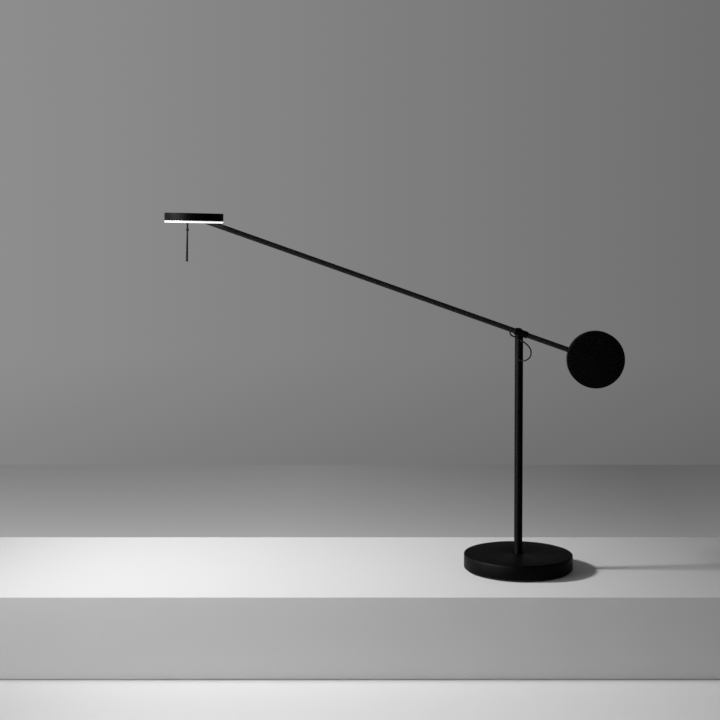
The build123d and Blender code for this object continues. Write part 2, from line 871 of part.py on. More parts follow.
with BuildPart() as led_board:
    add_disc(head_level(board_bottom), board_radius, board_thickness)
    add_opening(
        board_bottom,
        board_thickness,
        board_opening_back,
        board_opening_front,
        board_opening_half_width,
    )
    with BuildSketch(head_level(board_bottom)):
        with PolarLocations(board_screw_ring_radius, board_screw_count, start_angle=45):
            Circle(board_screw_radius + slip_gap)
    extrude(amount=board_thickness, mode=Mode.SUBTRACT)
save(led_board, "led_board")

with BuildPart() as board_screws:
    for amount, radius in (
        (-board_screw_head_height, board_screw_head_radius),
        (board_thickness + board_screw_grip, board_screw_radius),
    ):
        with BuildSketch(head_level(board_bottom)):
            with PolarLocations(board_screw_ring_radius, board_screw_count, start_angle=45):
                Circle(radius)
        extrude(amount=amount)
save(board_screws, "board_screws")

with BuildPart() as leds:
    for ring_radius, ring_count in (
        (led_inner_ring_radius, led_inner_ring_count),
        (led_outer_ring_radius, led_outer_ring_count),
    ):
        with BuildSketch(head_level(board_bottom)):
            with PolarLocations(ring_radius, ring_count):
                Rectangle(led_side, led_side)
        extrude(amount=-led_height)
save(leds, "leds")

with BuildPart() as diffuser:
    add_disc(
        head_level(diffuser_bottom), head_radius - diffuser_lip_inset, diffuser_proud
    )
    fillet(
        diffuser.edges().group_by(Axis((0, 0, 0), head_up))[0], diffuser_edge_radius
    )
    add_disc(
        head_level(head_bottom),
        head_radius - head_side_wall - easy_gap / 2,
        diffuser_ring_height,
    )
    add_disc(
        head_level(diffuser_inside),
        head_radius - head_side_wall - easy_gap / 2 - diffuser_ring,
        head_bottom + diffuser_ring_height - diffuser_inside,
        mode=Mode.SUBTRACT,
    )
    add_slot(diffuser_bottom, diffuser_face, slot_half_width)
    with BuildSketch(head_level(diffuser_bottom)):
        with Locations((handle_x, 0)):
            Circle(handle_neck_radius + easy_gap / 2)
    extrude(amount=diffuser_face, mode=Mode.SUBTRACT)
save(diffuser, "diffuser")

# The arm runs in a black liner, whose roof follows the arm at its nearest angle.
roof_slope = math.tan(math.radians(nearest_arm_angle))
arm_half_height = arm_radius / math.cos(math.radians(nearest_arm_angle))
liner_half_width = arm_radius + slot_arm_gap + liner_wall
liner_back = slot_back + easy_gap / 2
liner_end = math.sqrt((head_radius - diffuser_lip_inset) ** 2 - liner_half_width**2)
liner_cut_start = liner_start - liner_cut_margin
liner_cut_end = liner_end + liner_cut_margin


def roof_height(distance, gap):
    """Height of a roof line that leaves a gap above the arm at its nearest angle."""
    return arm_half_height + gap - distance * roof_slope


with BuildPart() as slot_liner:
    with BuildSketch(head_side(0)):
        with BuildLine():
            Polyline(
                (liner_back, diffuser_bottom),
                (liner_back, -liner_low_height),
                (liner_start, -liner_low_height),
                (liner_start, roof_height(liner_start, liner_roof_gap + liner_wall)),
                (liner_end, roof_height(liner_end, liner_roof_gap + liner_wall)),
                (liner_end, diffuser_bottom),
                close=True,
            )
        make_face()
    extrude(amount=liner_half_width, both=True)
    with BuildSketch(head_side(0)):
        with BuildLine():
            Polyline(
                (liner_back + liner_wall, diffuser_bottom - liner_cut_margin),
                (liner_back + liner_wall, 0),
                (liner_cut_start, 0),
                (liner_cut_start, roof_height(liner_cut_start, liner_roof_gap)),
                (liner_cut_end, roof_height(liner_cut_end, liner_roof_gap)),
                (liner_cut_end, diffuser_bottom - liner_cut_margin),
                close=True,
            )
        make_face()
    extrude(amount=liner_half_width - liner_wall, both=True, mode=Mode.SUBTRACT)
save(slot_liner, "slot_liner")

# ---------------------------------------------------------------- head hinge

bracket_bottom = spreader_bottom - bracket_thickness
bracket_opening_back = hinge_eye_radius + 2 * slot_arm_gap

with BuildPart() as hinge_bracket:
    with BuildSketch(head_level(bracket_bottom)):
        Rectangle(bracket_length, bracket_width)
    extrude(amount=bracket_thickness)
    add_opening(
        bracket_bottom, bracket_thickness, bracket_opening_back, bracket_length, cheek_inner
    )
    for side in (-1, 1):
        with BuildSketch(head_side(side * cheek_inner)):
            Circle(cheek_radius)
            with Locations((0, spreader_bottom / 2)):
                Rectangle(2 * cheek_radius, spreader_bottom)
            with Locations((0, spreader_bottom + cheek_radius)):
                Rectangle(4 * cheek_radius, 2 * cheek_radius, mode=Mode.SUBTRACT)
        extrude(amount=-side * cheek_thickness)
    with BuildSketch(head_side(0)):
        Circle(hinge_pin_radius + slip_gap)
    extrude(amount=bracket_width / 2, both=True, mode=Mode.SUBTRACT)
    with BuildSketch(head_level(bracket_bottom)):
        with GridLocations(2 * bracket_screw_x, 2 * bracket_screw_y, 2, 2):
            Circle(bracket_screw_radius + slip_gap)
    extrude(amount=bracket_thickness, mode=Mode.SUBTRACT)
save(hinge_bracket, "hinge_bracket")

with BuildPart() as bracket_screws:
    for amount, radius in (
        (-bracket_screw_head_height, bracket_screw_head_radius),
        (bracket_thickness + bracket_screw_grip, bracket_screw_radius),
    ):
        with BuildSketch(head_level(bracket_bottom)):
            with GridLocations(2 * bracket_screw_x, 2 * bracket_screw_y, 2, 2):
                Circle(radius)
        extrude(amount=amount)
save(bracket_screws, "bracket_screws")

with BuildPart() as hinge_pin:
    with BuildSketch(head_side(0)):
        Circle(hinge_pin_radius)
    extrude(amount=cheek_inner + cheek_thickness, both=True)
save(hinge_pin, "hinge_pin")

with BuildPart() as hinge_washers:
    for side in (-1, 1):
        add_disc(
            head_side(side * (hinge_eye_width / 2 + hinge_side_play)),
            hinge_washer_radius,
            -side * hinge_washer_thickness,
            bore=hinge_pin_radius + slip_gap,
        )
save(hinge_washers, "hinge_washers")

# ---------------------------------------------------------------- handle rod

handle_neck_bottom = diffuser_bottom - handle_neck_length
handle_collar_bottom = handle_neck_bottom - handle_collar_height
handle_rod_start = handle_collar_bottom - handle_waist_length
handle_rod_end = handle_rod_start - handle_rod_length
handle_groove_end = handle_rod_end - handle_groove_length
handle_tip_bottom = handle_groove_end - handle_tip_height
handle_axis_plane = Plane(
    origin=head_centre + across_head * handle_x, x_dir=across_head, z_dir=(0, -1, 0)
)
handle_axis = Axis(head_centre + across_head * handle_x, head_up)


def handle_level(height):
    """Plane square to the handle rod, at this height in the head."""
    origin = head_centre + across_head * handle_x + head_up * height
    return Plane(origin=origin, x_dir=across_head, z_dir=head_up)


with BuildPart() as handle_socket:
    add_disc(
        handle_level(diffuser_inside),
        handle_socket_radius,
        spreader_bottom - diffuser_inside,
        bore=handle_stud_radius + slip_gap,
    )
save(handle_socket, "handle_socket")

with BuildPart() as handle_rod:
    with BuildSketch(handle_axis_plane):
        with BuildLine():
            Polyline(
                (0, spreader_bottom + handle_stud_grip),
                (handle_stud_radius, spreader_bottom + handle_stud_grip),
                (handle_stud_radius, diffuser_inside),
                (handle_neck_radius, diffuser_inside),
                (handle_neck_radius, handle_neck_bottom),
                (handle_waist_radius, handle_neck_bottom),
                (handle_waist_radius, handle_rod_start + handle_rod_top_radius),
                (handle_rod_top_radius, handle_rod_start),
                (handle_rod_low_radius, handle_rod_end),
                (handle_groove_radius, handle_rod_end),
                (handle_groove_radius, handle_groove_end),
                (handle_tip_stud_radius, handle_groove_end),
                (handle_tip_stud_radius, handle_groove_end - handle_tip_stud_length),
                (0, handle_groove_end - handle_tip_stud_length),
                close=True,
            )
        make_face()
    revolve(axis=handle_axis)
save(handle_rod, "handle_rod")

with BuildPart() as handle_collar:
    add_disc(
        handle_level(handle_collar_bottom),
        handle_collar_radius,
        handle_collar_height,
        bore=handle_waist_radius + slip_gap,
    )
    rims = handle_collar.edges().filter_by(
        lambda edge: abs(edge.radius - handle_collar_radius) < slip_gap
        if edge.geom_type == GeomType.CIRCLE
        else False
    )
    chamfer(rims, handle_collar_chamfer)
save(handle_collar, "handle_collar")

with BuildPart() as handle_tip:
    add_disc(handle_level(handle_tip_bottom), handle_tip_radius, handle_tip_height)
    low_rim = handle_tip.edges().group_by(Axis((0, 0, 0), head_up))[0]
    fillet(low_rim, handle_tip_round)
    add_disc(
        handle_level(handle_groove_end),
        handle_tip_stud_radius + slip_gap,
        -(handle_tip_stud_length + easy_gap),
        mode=Mode.SUBTRACT,
    )
save(handle_tip, "handle_tip")

# ---------------------------------------------------------------- lead

with BuildPart() as stem_lead:
    with BuildLine() as stem_lead_path:
        FilletPolyline(
            (0, 0, weight_bottom + stem_lead_bottom_gap),
            (0, 0, stem_bushing_height),
            bushing_out * (stem_bushing_seat + stem_bushing_proud)
            + Vector(0, 0, stem_bushing_height),
            radius=stem_lead_bend,
        )
    with BuildSketch(Plane(origin=stem_lead_path.line @ 0, z_dir=stem_lead_path.line % 0)):
        Circle(lead_radius)
    sweep()
save(stem_lead, "stem_lead")

lead_line_height = -arm_bushing_x * math.tan(rise) + arm_lead_height / math.cos(rise)

with BuildPart() as arm_lead:
    with BuildLine() as arm_lead_path:
        FilletPolyline(
            arm_pivot + along_arm * (arm_head_end - arm_tip_collar),
            arm_pivot + along_arm * (arm_head_end + arm_tip_shank),
            arm_pivot + along_arm * (arm_head_end + 2 * arm_tip_shank) + above_arm * arm_lead_height,
            arm_pivot + Vector(arm_bushing_x, 0, lead_line_height),
            arm_pivot + Vector(arm_bushing_x, 0, arm_bushing_bottom),
            radius=[arm_tip_shank, arm_tip_shank, arm_lead_bend],
        )
    with BuildSketch(Plane(origin=arm_lead_path.line @ 0, z_dir=arm_lead_path.line % 0)):
        Circle(lead_radius)
    sweep()
save(arm_lead, "arm_lead")

# The loop's route, from the arm's bushing, past the front of the stem, to the stem's bushing.
loop_start = arm_pivot + Vector(arm_bushing_x, 0, arm_bushing_bottom)
loop_end = bushing_out * (stem_bushing_seat + stem_bushing_proud) + Vector(
    0, 0, stem_bushing_height
)
below_arm = [  # each point across, forward and down from the lead's exit in the arm
    (0.0, 0.0, 2.2),
    (0.8, 0.1, 4.2),
    (2.5, 0.2, 5.9),
    (5.5, 0.3, 7.5),
    (10.8, 0.4, 9.8),
    (18.4, 0.5, 13.9),
    (26.4, 0.9, 18.7),
    (33.3, 1.5, 24.4),
]
before_stem = [  # each point across, forward and up from the stem bushing's mouth
    (16.9, 9.1, 23.8),
    (18.7, 9.4, 16.8),
    (18.0, 9.6, 10.2),
    (14.6, 9.7, 4.6),
    (9.9, 9.3, 1.3),
    (5.9, 8.0, -0.3),
    (2.9, 5.9, -0.4),
]
loop_points = [
    loop_start,
    *(loop_start + Vector(across, -forward, -down) for across, forward, down in below_arm),
    *(loop_end + Vector(across, -forward, up) for across, forward, up in before_stem),
    loop_end + bushing_out * loop_straight_end,
    loop_end,
]


def bend_radii(points):
    """The tangent arc at each corner that takes up its share of the shorter run beside it."""
    radii = []
    for before, corner, after in zip(points, points[1:], points[2:]):
        arriving = corner - before
        leaving = after - corner
        half_turn = math.radians(arriving.get_angle(leaving)) / 2
        shorter = min(arriving.length, leaving.length)
        radii.append(loop_arc_share * shorter / math.tan(half_turn))
    return radii


loop_radii = bend_radii(loop_points)

with BuildPart() as lead_loop:
    with BuildLine() as loop_path:
        FilletPolyline(*loop_points, radius=loop_radii)
    with BuildSketch(Plane(origin=loop_path.line @ 0, z_dir=loop_path.line % 0)):
        Circle(lead_radius)
    sweep()
save(lead_loop, "lead_loop")

loop_length = loop_path.wire().length
print("lead loop radii", [round(radius, 1) for radius in loop_radii])
print("lead loop runs", [round((b - a).length, 1) for a, b in zip(loop_points, loop_points[1:])])
print("lead loop length", round(loop_length, 1))
print(
    "lead loop volume", round(lead_loop.part.volume, 2),
    "section times length", round(math.pi * lead_radius**2 * loop_length, 2),
)
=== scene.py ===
import json
import math

import bpy
from mathutils import Matrix, Vector


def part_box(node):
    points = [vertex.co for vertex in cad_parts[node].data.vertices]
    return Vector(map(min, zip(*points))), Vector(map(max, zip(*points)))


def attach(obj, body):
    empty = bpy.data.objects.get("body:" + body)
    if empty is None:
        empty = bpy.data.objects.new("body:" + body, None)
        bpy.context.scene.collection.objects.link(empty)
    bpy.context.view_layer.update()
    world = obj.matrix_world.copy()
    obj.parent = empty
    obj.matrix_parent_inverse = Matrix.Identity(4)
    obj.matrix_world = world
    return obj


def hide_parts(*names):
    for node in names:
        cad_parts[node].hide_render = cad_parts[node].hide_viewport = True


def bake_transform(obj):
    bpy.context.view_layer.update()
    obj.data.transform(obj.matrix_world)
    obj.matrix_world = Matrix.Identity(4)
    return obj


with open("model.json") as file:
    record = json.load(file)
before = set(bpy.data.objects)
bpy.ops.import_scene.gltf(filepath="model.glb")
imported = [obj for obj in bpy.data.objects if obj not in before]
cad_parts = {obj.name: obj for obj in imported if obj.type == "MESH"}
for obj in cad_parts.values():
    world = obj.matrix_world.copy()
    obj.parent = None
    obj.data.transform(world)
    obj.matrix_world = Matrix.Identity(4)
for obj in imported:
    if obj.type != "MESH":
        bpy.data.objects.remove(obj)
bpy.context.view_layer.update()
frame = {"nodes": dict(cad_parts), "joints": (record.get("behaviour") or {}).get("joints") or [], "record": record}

bl_info = {
    "name": "Balance Desk Lamp",
    "version": (1, 0, 0),
    "blender": (4, 5, 0),
    "location": "3D View > Sidebar > Balance Lamp",
    "description": "Models and finishes a counterweighted desk lamp on its packed frame",
    "category": "Object",
}

# The lamp stands at the origin. Its head is towards -X and the camera looks along +Y.

joint_places = {joint["name"]: Vector(joint["pos_m"]) for joint in frame["joints"]}
arm_pivot = joint_places["arm_tilt"]
head_centre = joint_places["head_tilt"]
along_arm = (arm_pivot - head_centre).normalized()
side_axis = Vector((0, 1, 0))
CAMERA_YAW = math.radians(2.0)
SAME_POINT = 0.000001  # corners nearer than this are one


def spread(node, axis):
    """How long a CAD node is along one axis of the row frame."""
    low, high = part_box(node)
    return (high - low)[axis]


# ---------------------------------------------------------------- sizes and colours


class BaseSizes(bpy.types.PropertyGroup):
    radius: bpy.props.FloatProperty(
        name="Radius", description="Radius of the base cover",
        default=spread("base_cover", 0) / 2, unit="LENGTH", subtype="DISTANCE",
    )
    wall: bpy.props.FloatProperty(
        name="Wall", description="Thickness of the base cover",
        default=0.003, unit="LENGTH", subtype="DISTANCE",
    )
    edge_radius: bpy.props.FloatProperty(
        name="Edge radius", description="Rounding of the cover's top edge",
        default=0.0025, unit="LENGTH", subtype="DISTANCE",
    )
    recess_radius: bpy.props.FloatProperty(
        name="Recess radius", description="Radius of the recess round the stem's foot",
        default=0.011, unit="LENGTH", subtype="DISTANCE",
    )


class StemSizes(bpy.types.PropertyGroup):
    radius: bpy.props.FloatProperty(
        name="Radius", description="Radius of the stem tube",
        default=spread("stem_tube", 0) / 2, unit="LENGTH", subtype="DISTANCE",
    )
    wall: bpy.props.FloatProperty(
        name="Wall", description="Wall of the stem tube",
        default=0.0015, unit="LENGTH", subtype="DISTANCE",
    )


class ArmSizes(bpy.types.PropertyGroup):
    radius: bpy.props.FloatProperty(
        name="Radius", description="Radius of the arm tube",
        default=spread("arm_tube", 1) / 2, unit="LENGTH", subtype="DISTANCE",
    )
    wall: bpy.props.FloatProperty(
        name="Wall", description="Wall of the arm tube",
        default=0.001, unit="LENGTH", subtype="DISTANCE",
    )
    head_end: bpy.props.FloatProperty(
        name="Head end", description="From the pivot to the tube's end at the lamp head",
        default=0.651, unit="LENGTH", subtype="DISTANCE",
    )
    weight_end: bpy.props.FloatProperty(
        name="Weight end", description="From the pivot to the tube's end in the counterweight",
        default=0.127, unit="LENGTH", subtype="DISTANCE",
    )


class CounterweightSizes(bpy.types.PropertyGroup):
    radius: bpy.props.FloatProperty(
        name="Radius", description="Radius of the counterweight",
        default=spread("counterweight", 2) / 2, unit="LENGTH", subtype="DISTANCE",
    )
    thickness: bpy.props.FloatProperty(
        name="Thickness", description="Thickness of the counterweight",
        default=spread("counterweight", 1), unit="LENGTH", subtype="DISTANCE",
    )
    edge: bpy.props.FloatProperty(
        name="Edge", description="Rounding of the counterweight's edges",
        default=0.0006, unit="LENGTH", subtype="DISTANCE",
    )
    reach: bpy.props.FloatProperty(
        name="Reach", description="From the arm's pivot to the middle of the counterweight",
        default=0.154, unit="LENGTH", subtype="DISTANCE",
    )
    screw_hole_radius: bpy.props.FloatProperty(
        name="Screw hole radius", description="Radius of the set screws' holes in its back",
        default=0.00255, unit="LENGTH", subtype="DISTANCE",
    )


class HeadSizes(bpy.types.PropertyGroup):
    radius: bpy.props.FloatProperty(
        name="Radius", description="Radius of the lamp head",
        default=spread("head_housing", 1) / 2, unit="LENGTH", subtype="DISTANCE",
    )
    height: bpy.props.FloatProperty(
        name="Height", description="Height of the housing's side",
        default=0.015, unit="LENGTH", subtype="DISTANCE",
    )
    wall: bpy.props.FloatProperty(
        name="Wall", description="Thickness of the housing",
        default=0.002, unit="LENGTH", subtype="DISTANCE",
    )
    edge: bpy.props.FloatProperty(
        name="Edge", description="Rounding of the housing's top edge",
        default=0.0005, unit="LENGTH", subtype="DISTANCE",
    )
    droop: bpy.props.FloatProperty(
        name="Droop", description="How far the head hangs down on the arm's side",
        default=math.radians(1.15), subtype="ANGLE",
    )
    diffuser_proud: bpy.props.FloatProperty(
        name="Diffuser", description="How far the diffuser stands out below the housing",
        default=0.0035, unit="LENGTH", subtype="DISTANCE",
    )
    diffuser_face: bpy.props.FloatProperty(
        name="Diffuser face", description="Thickness of the diffuser",
        default=0.0025, unit="LENGTH", subtype="DISTANCE",
    )
    slot_half_width: bpy.props.FloatProperty(
        name="Slot half width", description="Half the width of the arm's slot in the diffuser",
        default=0.00645, unit="LENGTH", subtype="DISTANCE",
    )
    slot_back: bpy.props.FloatProperty(
        name="Slot back", description="From the head's middle to the slot's closed end",
        default=0.00705, unit="LENGTH", subtype="DISTANCE",
    )
    handle_offset: bpy.props.FloatProperty(
        name="Handle offset", description="From the head's middle to the handle rod",
        default=0.0124, unit="LENGTH", subtype="DISTANCE",
    )
    handle_hole_radius: bpy.props.FloatProperty(
        name="Handle hole radius", description="Radius of the handle rod's hole",
        default=0.00195, unit="LENGTH", subtype="DISTANCE",
    )


class LeadSizes(bpy.types.PropertyGroup):
    diameter: bpy.props.FloatProperty(
        name="Diameter", description="Diameter of the lead",
        default=0.0028, unit="LENGTH", subtype="DISTANCE",
    )
    length: bpy.props.FloatProperty(
        name="Length", description="Length of the free loop of the lead",
        default=0.0914, unit="LENGTH", subtype="DISTANCE",
    )


class Finishes(bpy.types.PropertyGroup):
    coat: bpy.props.FloatVectorProperty(
        name="Coat", description="Colour of the matte black coat",
        default=(0.0014, 0.0014, 0.00145), size=3, subtype="COLOR",
    )
    opal: bpy.props.FloatVectorProperty(
        name="Opal", description="Colour of the diffuser",
        default=(0.93, 0.92, 0.88), size=3, subtype="COLOR",
    )
    glow: bpy.props.FloatProperty(
        name="Glow", description="Strength of the lit diffuser's face", default=2.5,
    )
    rim_glow: bpy.props.FloatProperty(
        name="Rim glow", description="Strength of the lit diffuser's side", default=0.95,
    )
    # The diffuser side's colour is the opal colour scaled by this share, a painted shade.
    rim_shade: bpy.props.FloatProperty(
        name="Rim shade", description="How much of the opal's colour the side shows", default=0.4,
    )
    plinth: bpy.props.FloatVectorProperty(
        name="Plinth", description="Colour of the pale plinth",
        default=(0.80, 0.80, 0.80), size=3, subtype="COLOR",
    )
    floor: bpy.props.FloatVectorProperty(
        name="Floor", description="Colour of the pale floor before the plinth",
        default=(0.78, 0.78, 0.78), size=3, subtype="COLOR",
    )
    # The room floor's brightness is painted light, glowing from the floor itself.
    room_floor: bpy.props.FloatProperty(
        name="Room floor", description="Brightness of the floor one metre behind the lamp",
        default=0.347,
    )
    room_fading: bpy.props.FloatProperty(
        name="Room fading", description="Power of the distance by which that floor fades",
        default=0.74,
    )


class StageSizes(bpy.types.PropertyGroup):
    plinth_front: bpy.props.FloatProperty(
        name="Plinth front", description="From the lamp to the plinth's front edge",
        default=0.207, unit="LENGTH", subtype="DISTANCE",
    )
    plinth_back: bpy.props.FloatProperty(
        name="Plinth back", description="From the lamp to the plinth's back edge",
        default=0.276, unit="LENGTH", subtype="DISTANCE",
    )
    plinth_height: bpy.props.FloatProperty(
        name="Plinth height", description="Height of the plinth above the floor",
        default=0.1495, unit="LENGTH", subtype="DISTANCE",
    )
    key_power: bpy.props.FloatProperty(
        name="Key power", description="Power of the lamp at the left",
        default=745.0, unit="POWER",
    )
    key_cone: bpy.props.FloatProperty(
        name="Key cone", description="Width of the beam of the lamp at the left, seen from the front",
        default=math.radians(19), subtype="ANGLE",
    )
    key_stretch: bpy.props.FloatProperty(
        name="Key stretch", description="How many times wider the beam is from front to back",
        default=6.0,
    )
    key_aim: bpy.props.FloatProperty(
        name="Key aim", description="Where the beam meets the plinth, along the row's X axis",
        default=-0.47, unit="LENGTH", subtype="DISTANCE",
    )
    fill_power: bpy.props.FloatProperty(
        name="Fill power", description="Power of the softbox before the lamp, at the left",
        default=8.0, unit="POWER",
    )
    ambient_level: bpy.props.FloatProperty(
        name="Ambient level", description="Brightness of the light from all round", default=0.1,
    )
    yaw: bpy.props.FloatProperty(
        name="Yaw", description="Turn of the plinth and floors, square to the camera",
        default=CAMERA_YAW, subtype="ANGLE",
    )


PROPERTY_GROUPS = {
    "lamp_base": BaseSizes,
    "lamp_stem": StemSizes,
    "lamp_arm": ArmSizes,
    "lamp_counterweight": CounterweightSizes,
    "lamp_head": HeadSizes,
    "lamp_lead": LeadSizes,
    "lamp_finishes": Finishes,
    "lamp_stage": StageSizes,
}

# ---------------------------------------------------------------- modelling helpers


def placed(origin, x_axis, z_axis):
    """The place of a piece whose own X and Z point along these axes."""
    y_axis = z_axis.cross(x_axis)
    turn = Matrix((x_axis, y_axis, z_axis)).transposed().to_4x4()
    return Matrix.Translation(origin) @ turn


def head_place(context):
    """The lamp head's own frame: X towards the arm and Z up, turned by its droop."""
    droop = context.scene.lamp_head.droop
    across = Vector((math.cos(droop), 0, -math.sin(droop)))
    up = Vector((math.sin(droop), 0, math.cos(droop)))
    return placed(head_centre, across, up)


def rounded(radius, height, size, start, steps=6):
    """Stations of a quarter circle about a centre, from a start angle in degrees, going up."""
    stations = []
    for step in range(steps + 1):
        angle = math.radians(start + 90 * step / steps)
        stations.append((radius + size * math.cos(angle), height + size * math.sin(angle)))
    return stations


def select_nothing():
    """Deselects everything, so that the next operators work on the new piece alone."""
    if bpy.context.object and bpy.context.object.mode != "OBJECT":
        bpy.ops.object.mode_set(mode="OBJECT")
    bpy.ops.object.select_all(action="DESELECT")


def select_only(piece):
    """Selects one piece, and makes it the one that operators work on."""
    select_nothing()
    piece.select_set(True)
    bpy.context.view_layer.objects.active = piece


def turned(name, stations, sides=160, closed=True):
    """A turned piece: a ring is extruded and resized through stations of radius and height.

    A closed outline comes back to its first station. An open one starts and ends in a flat face.
    """
    select_nothing()
    first_radius, first_height = stations[0]
    bpy.ops.mesh.primitive_circle_add(
        vertices=sides, radius=first_radius, fill_type="NOTHING", location=(0, 0, first_height)
    )
    piece = bpy.context.object
    piece.name = name
    bpy.ops.object.transform_apply(location=True, rotation=True, scale=True)
    bpy.ops.object.mode_set(mode="EDIT")
    bpy.ops.mesh.select_mode(type="EDGE")
    bpy.ops.mesh.select_all(action="SELECT")
    if not closed:
        bpy.ops.mesh.edge_face_add()
    radius, height = first_radius, first_height
    following = stations[1:] + ([stations[0]] if closed else [])
    for next_radius, next_height in following:
        bpy.ops.mesh.extrude_region_move(
            TRANSFORM_OT_translate={"value": (0, 0, next_height - height)}
        )
        grow = next_radius / radius
        bpy.ops.transform.resize(value=(grow, grow, 1), center_override=(0, 0, next_height))
        radius, height = next_radius, next_height
    bpy.ops.mesh.select_all(action="SELECT")
    bpy.ops.mesh.remove_doubles(threshold=SAME_POINT)
    bpy.ops.mesh.normals_make_consistent(inside=False)
    bpy.ops.object.mode_set(mode="OBJECT")
    return piece


def set_in_place(piece, place):
    """Moves a piece into its place, and puts that place into its mesh."""
    select_only(piece)
    piece.matrix_world = place
    bpy.ops.object.transform_apply(location=True, rotation=True, scale=True)


def smooth(piece, angle=35):
    """Shades a piece smooth, except over its sharp edges."""
    select_only(piece)
    bpy.ops.object.shade_smooth_by_angle(angle=math.radians(angle))


def cut_away(piece, cutter):
    """Cuts the cutter out of a piece, and removes the cutter."""
    select_only(piece)
    cut = piece.modifiers.new("cut", "BOOLEAN")
    cut.operation = "DIFFERENCE"
    cut.solver = "EXACT"
    cut.object = cutter
    bpy.ops.object.modifier_apply(modifier=cut.name)
    bpy.data.objects.remove(cutter)


def peg(radius, depth, place, sides=48):
    """A cutter for a round hole, as deep to each side of its place."""
    select_nothing()
    bpy.ops.mesh.primitive_cylinder_add(vertices=sides, radius=radius, depth=2 * depth)
    cutter = bpy.context.object
    set_in_place(cutter, place)
    return cutter


def block(size, place):
    """A cutter for a slot, centred on its place."""
    select_nothing()
    bpy.ops.mesh.primitive_cube_add(size=1)
    cutter = bpy.context.object
    cutter.scale = size
    bpy.ops.object.transform_apply(location=True, rotation=True, scale=True)
    set_in_place(cutter, place)
    return cutter


def finish_piece(context, piece, body, node, slot, material=None):
    """Gives a finished piece its slot's material, hides its CAD node, and hangs it on the body that it rides on.
    """
    piece.data.materials.clear()
    piece.data.materials.append(material or finish_for(context, slot))
    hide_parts(node)
    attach(piece, body)


# ---------------------------------------------------------------- materials


def new_material(name):
    """An empty material with its Principled shader and output."""
    material = bpy.data.materials.new(name)
    material.use_nodes = True
    tree = material.node_tree
    tree.nodes.clear()
    output = tree.nodes.new("ShaderNodeOutputMaterial")
    shader = tree.nodes.new("ShaderNodeBsdfPrincipled")
    tree.links.new(shader.outputs["BSDF"], output.inputs["Surface"])
    return material, tree, shader


def grain(tree, size, detail=3.0, stretch=(1, 1, 1)):
    """A noise pattern on the object's own coordinates, with grains of this size in metres."""
    coordinates = tree.nodes.new("ShaderNodeTexCoord")
    mapping = tree.nodes.new("ShaderNodeMapping")
    mapping.inputs["Scale"].default_value = stretch
    noise = tree.nodes.new("ShaderNodeTexNoise")
    noise.inputs["Scale"].default_value = 1 / size
    noise.inputs["Detail"].default_value = detail
    tree.links.new(coordinates.outputs["Object"], mapping.inputs["Vector"])
    tree.links.new(mapping.outputs["Vector"], noise.inputs["Vector"])
    return noise.outputs["Fac"]


def ranged(tree, value, low, high, start=0.3, end=0.7):
    """Spreads a pattern's values from low to high."""
    spread_node = tree.nodes.new("ShaderNodeMapRange")
    spread_node.inputs["From Min"].default_value = start
    spread_node.inputs["From Max"].default_value = end
    spread_node.inputs["To Min"].default_value = low
    spread_node.inputs["To Max"].default_value = high
    tree.links.new(value, spread_node.inputs["Value"])
    return spread_node.outputs["Result"]


def combined(tree, operation, first, second):
    """Two values, put together by a Math node's operation."""
    both = tree.nodes.new("ShaderNodeMath")
    both.operation = operation
    tree.links.new(first, both.inputs[0])
    tree.links.new(second, both.inputs[1])
    return both.outputs["Value"]


def mixed(tree, factor, first, second):
    """A colour between two, by a pattern."""
    mix = tree.nodes.new("ShaderNodeMix")
    mix.data_type = "RGBA"
    mix.inputs["A"].default_value = (*first, 1)
    mix.inputs["B"].default_value = (*second, 1)
    tree.links.new(factor, mix.inputs["Factor"])
    return mix.outputs["Result"]


def raised(tree, shader, height, depth):
    """Bumps the surface by a pattern, this deep in metres."""
    bump = tree.nodes.new("ShaderNodeBump")
    bump.inputs["Strength"].default_value = 1.0
    bump.inputs["Distance"].default_value = depth
    tree.links.new(height, bump.inputs["Height"])
    tree.links.new(bump.outputs["Normal"], shader.inputs["Normal"])


def lighter(colour, share):
    """The same colour, made lighter by a share of what is left to white."""
    return tuple(channel + (1 - channel) * share for channel in colour)


def matte_coat(name, colour, peel=0.0007, rough=(0.4, 0.48), shine=0.035):
    """A fine matte powder coat: a shallow pebbled skin, a faint mottle and a little dust."""
    material, tree, shader = new_material(name)
    dust = ranged(tree, grain(tree, 0.011, 6.0), 0.0, 1.0, start=0.45, end=0.8)
    colour_out = mixed(tree, dust, colour, lighter(colour, 0.001))
    tree.links.new(colour_out, shader.inputs["Base Color"])
    roughness = ranged(tree, grain(tree, 0.02, 5.0), rough[0], rough[1])
    tree.links.new(roughness, shader.inputs["Roughness"])
    shader.inputs["Specular IOR Level"].default_value = shine
    raised(tree, shader, grain(tree, peel, 2.0), 0.00002)
    return material


def moulded_plastic(name, colour, rough=(0.42, 0.55), shine=0.12):
    """Moulded plastic with a fine spark-eroded texture."""
    material, tree, shader = new_material(name)
    mottle = ranged(tree, grain(tree, 0.004, 4.0), 0.0, 1.0)
    tree.links.new(mixed(tree, mottle, colour, lighter(colour, 0.002)), shader.inputs["Base Color"])
    tree.links.new(ranged(tree, grain(tree, 0.0008), *rough), shader.inputs["Roughness"])
    shader.inputs["Specular IOR Level"].default_value = shine
    raised(tree, shader, grain(tree, 0.00035, 2.0), 0.00001)
    return material


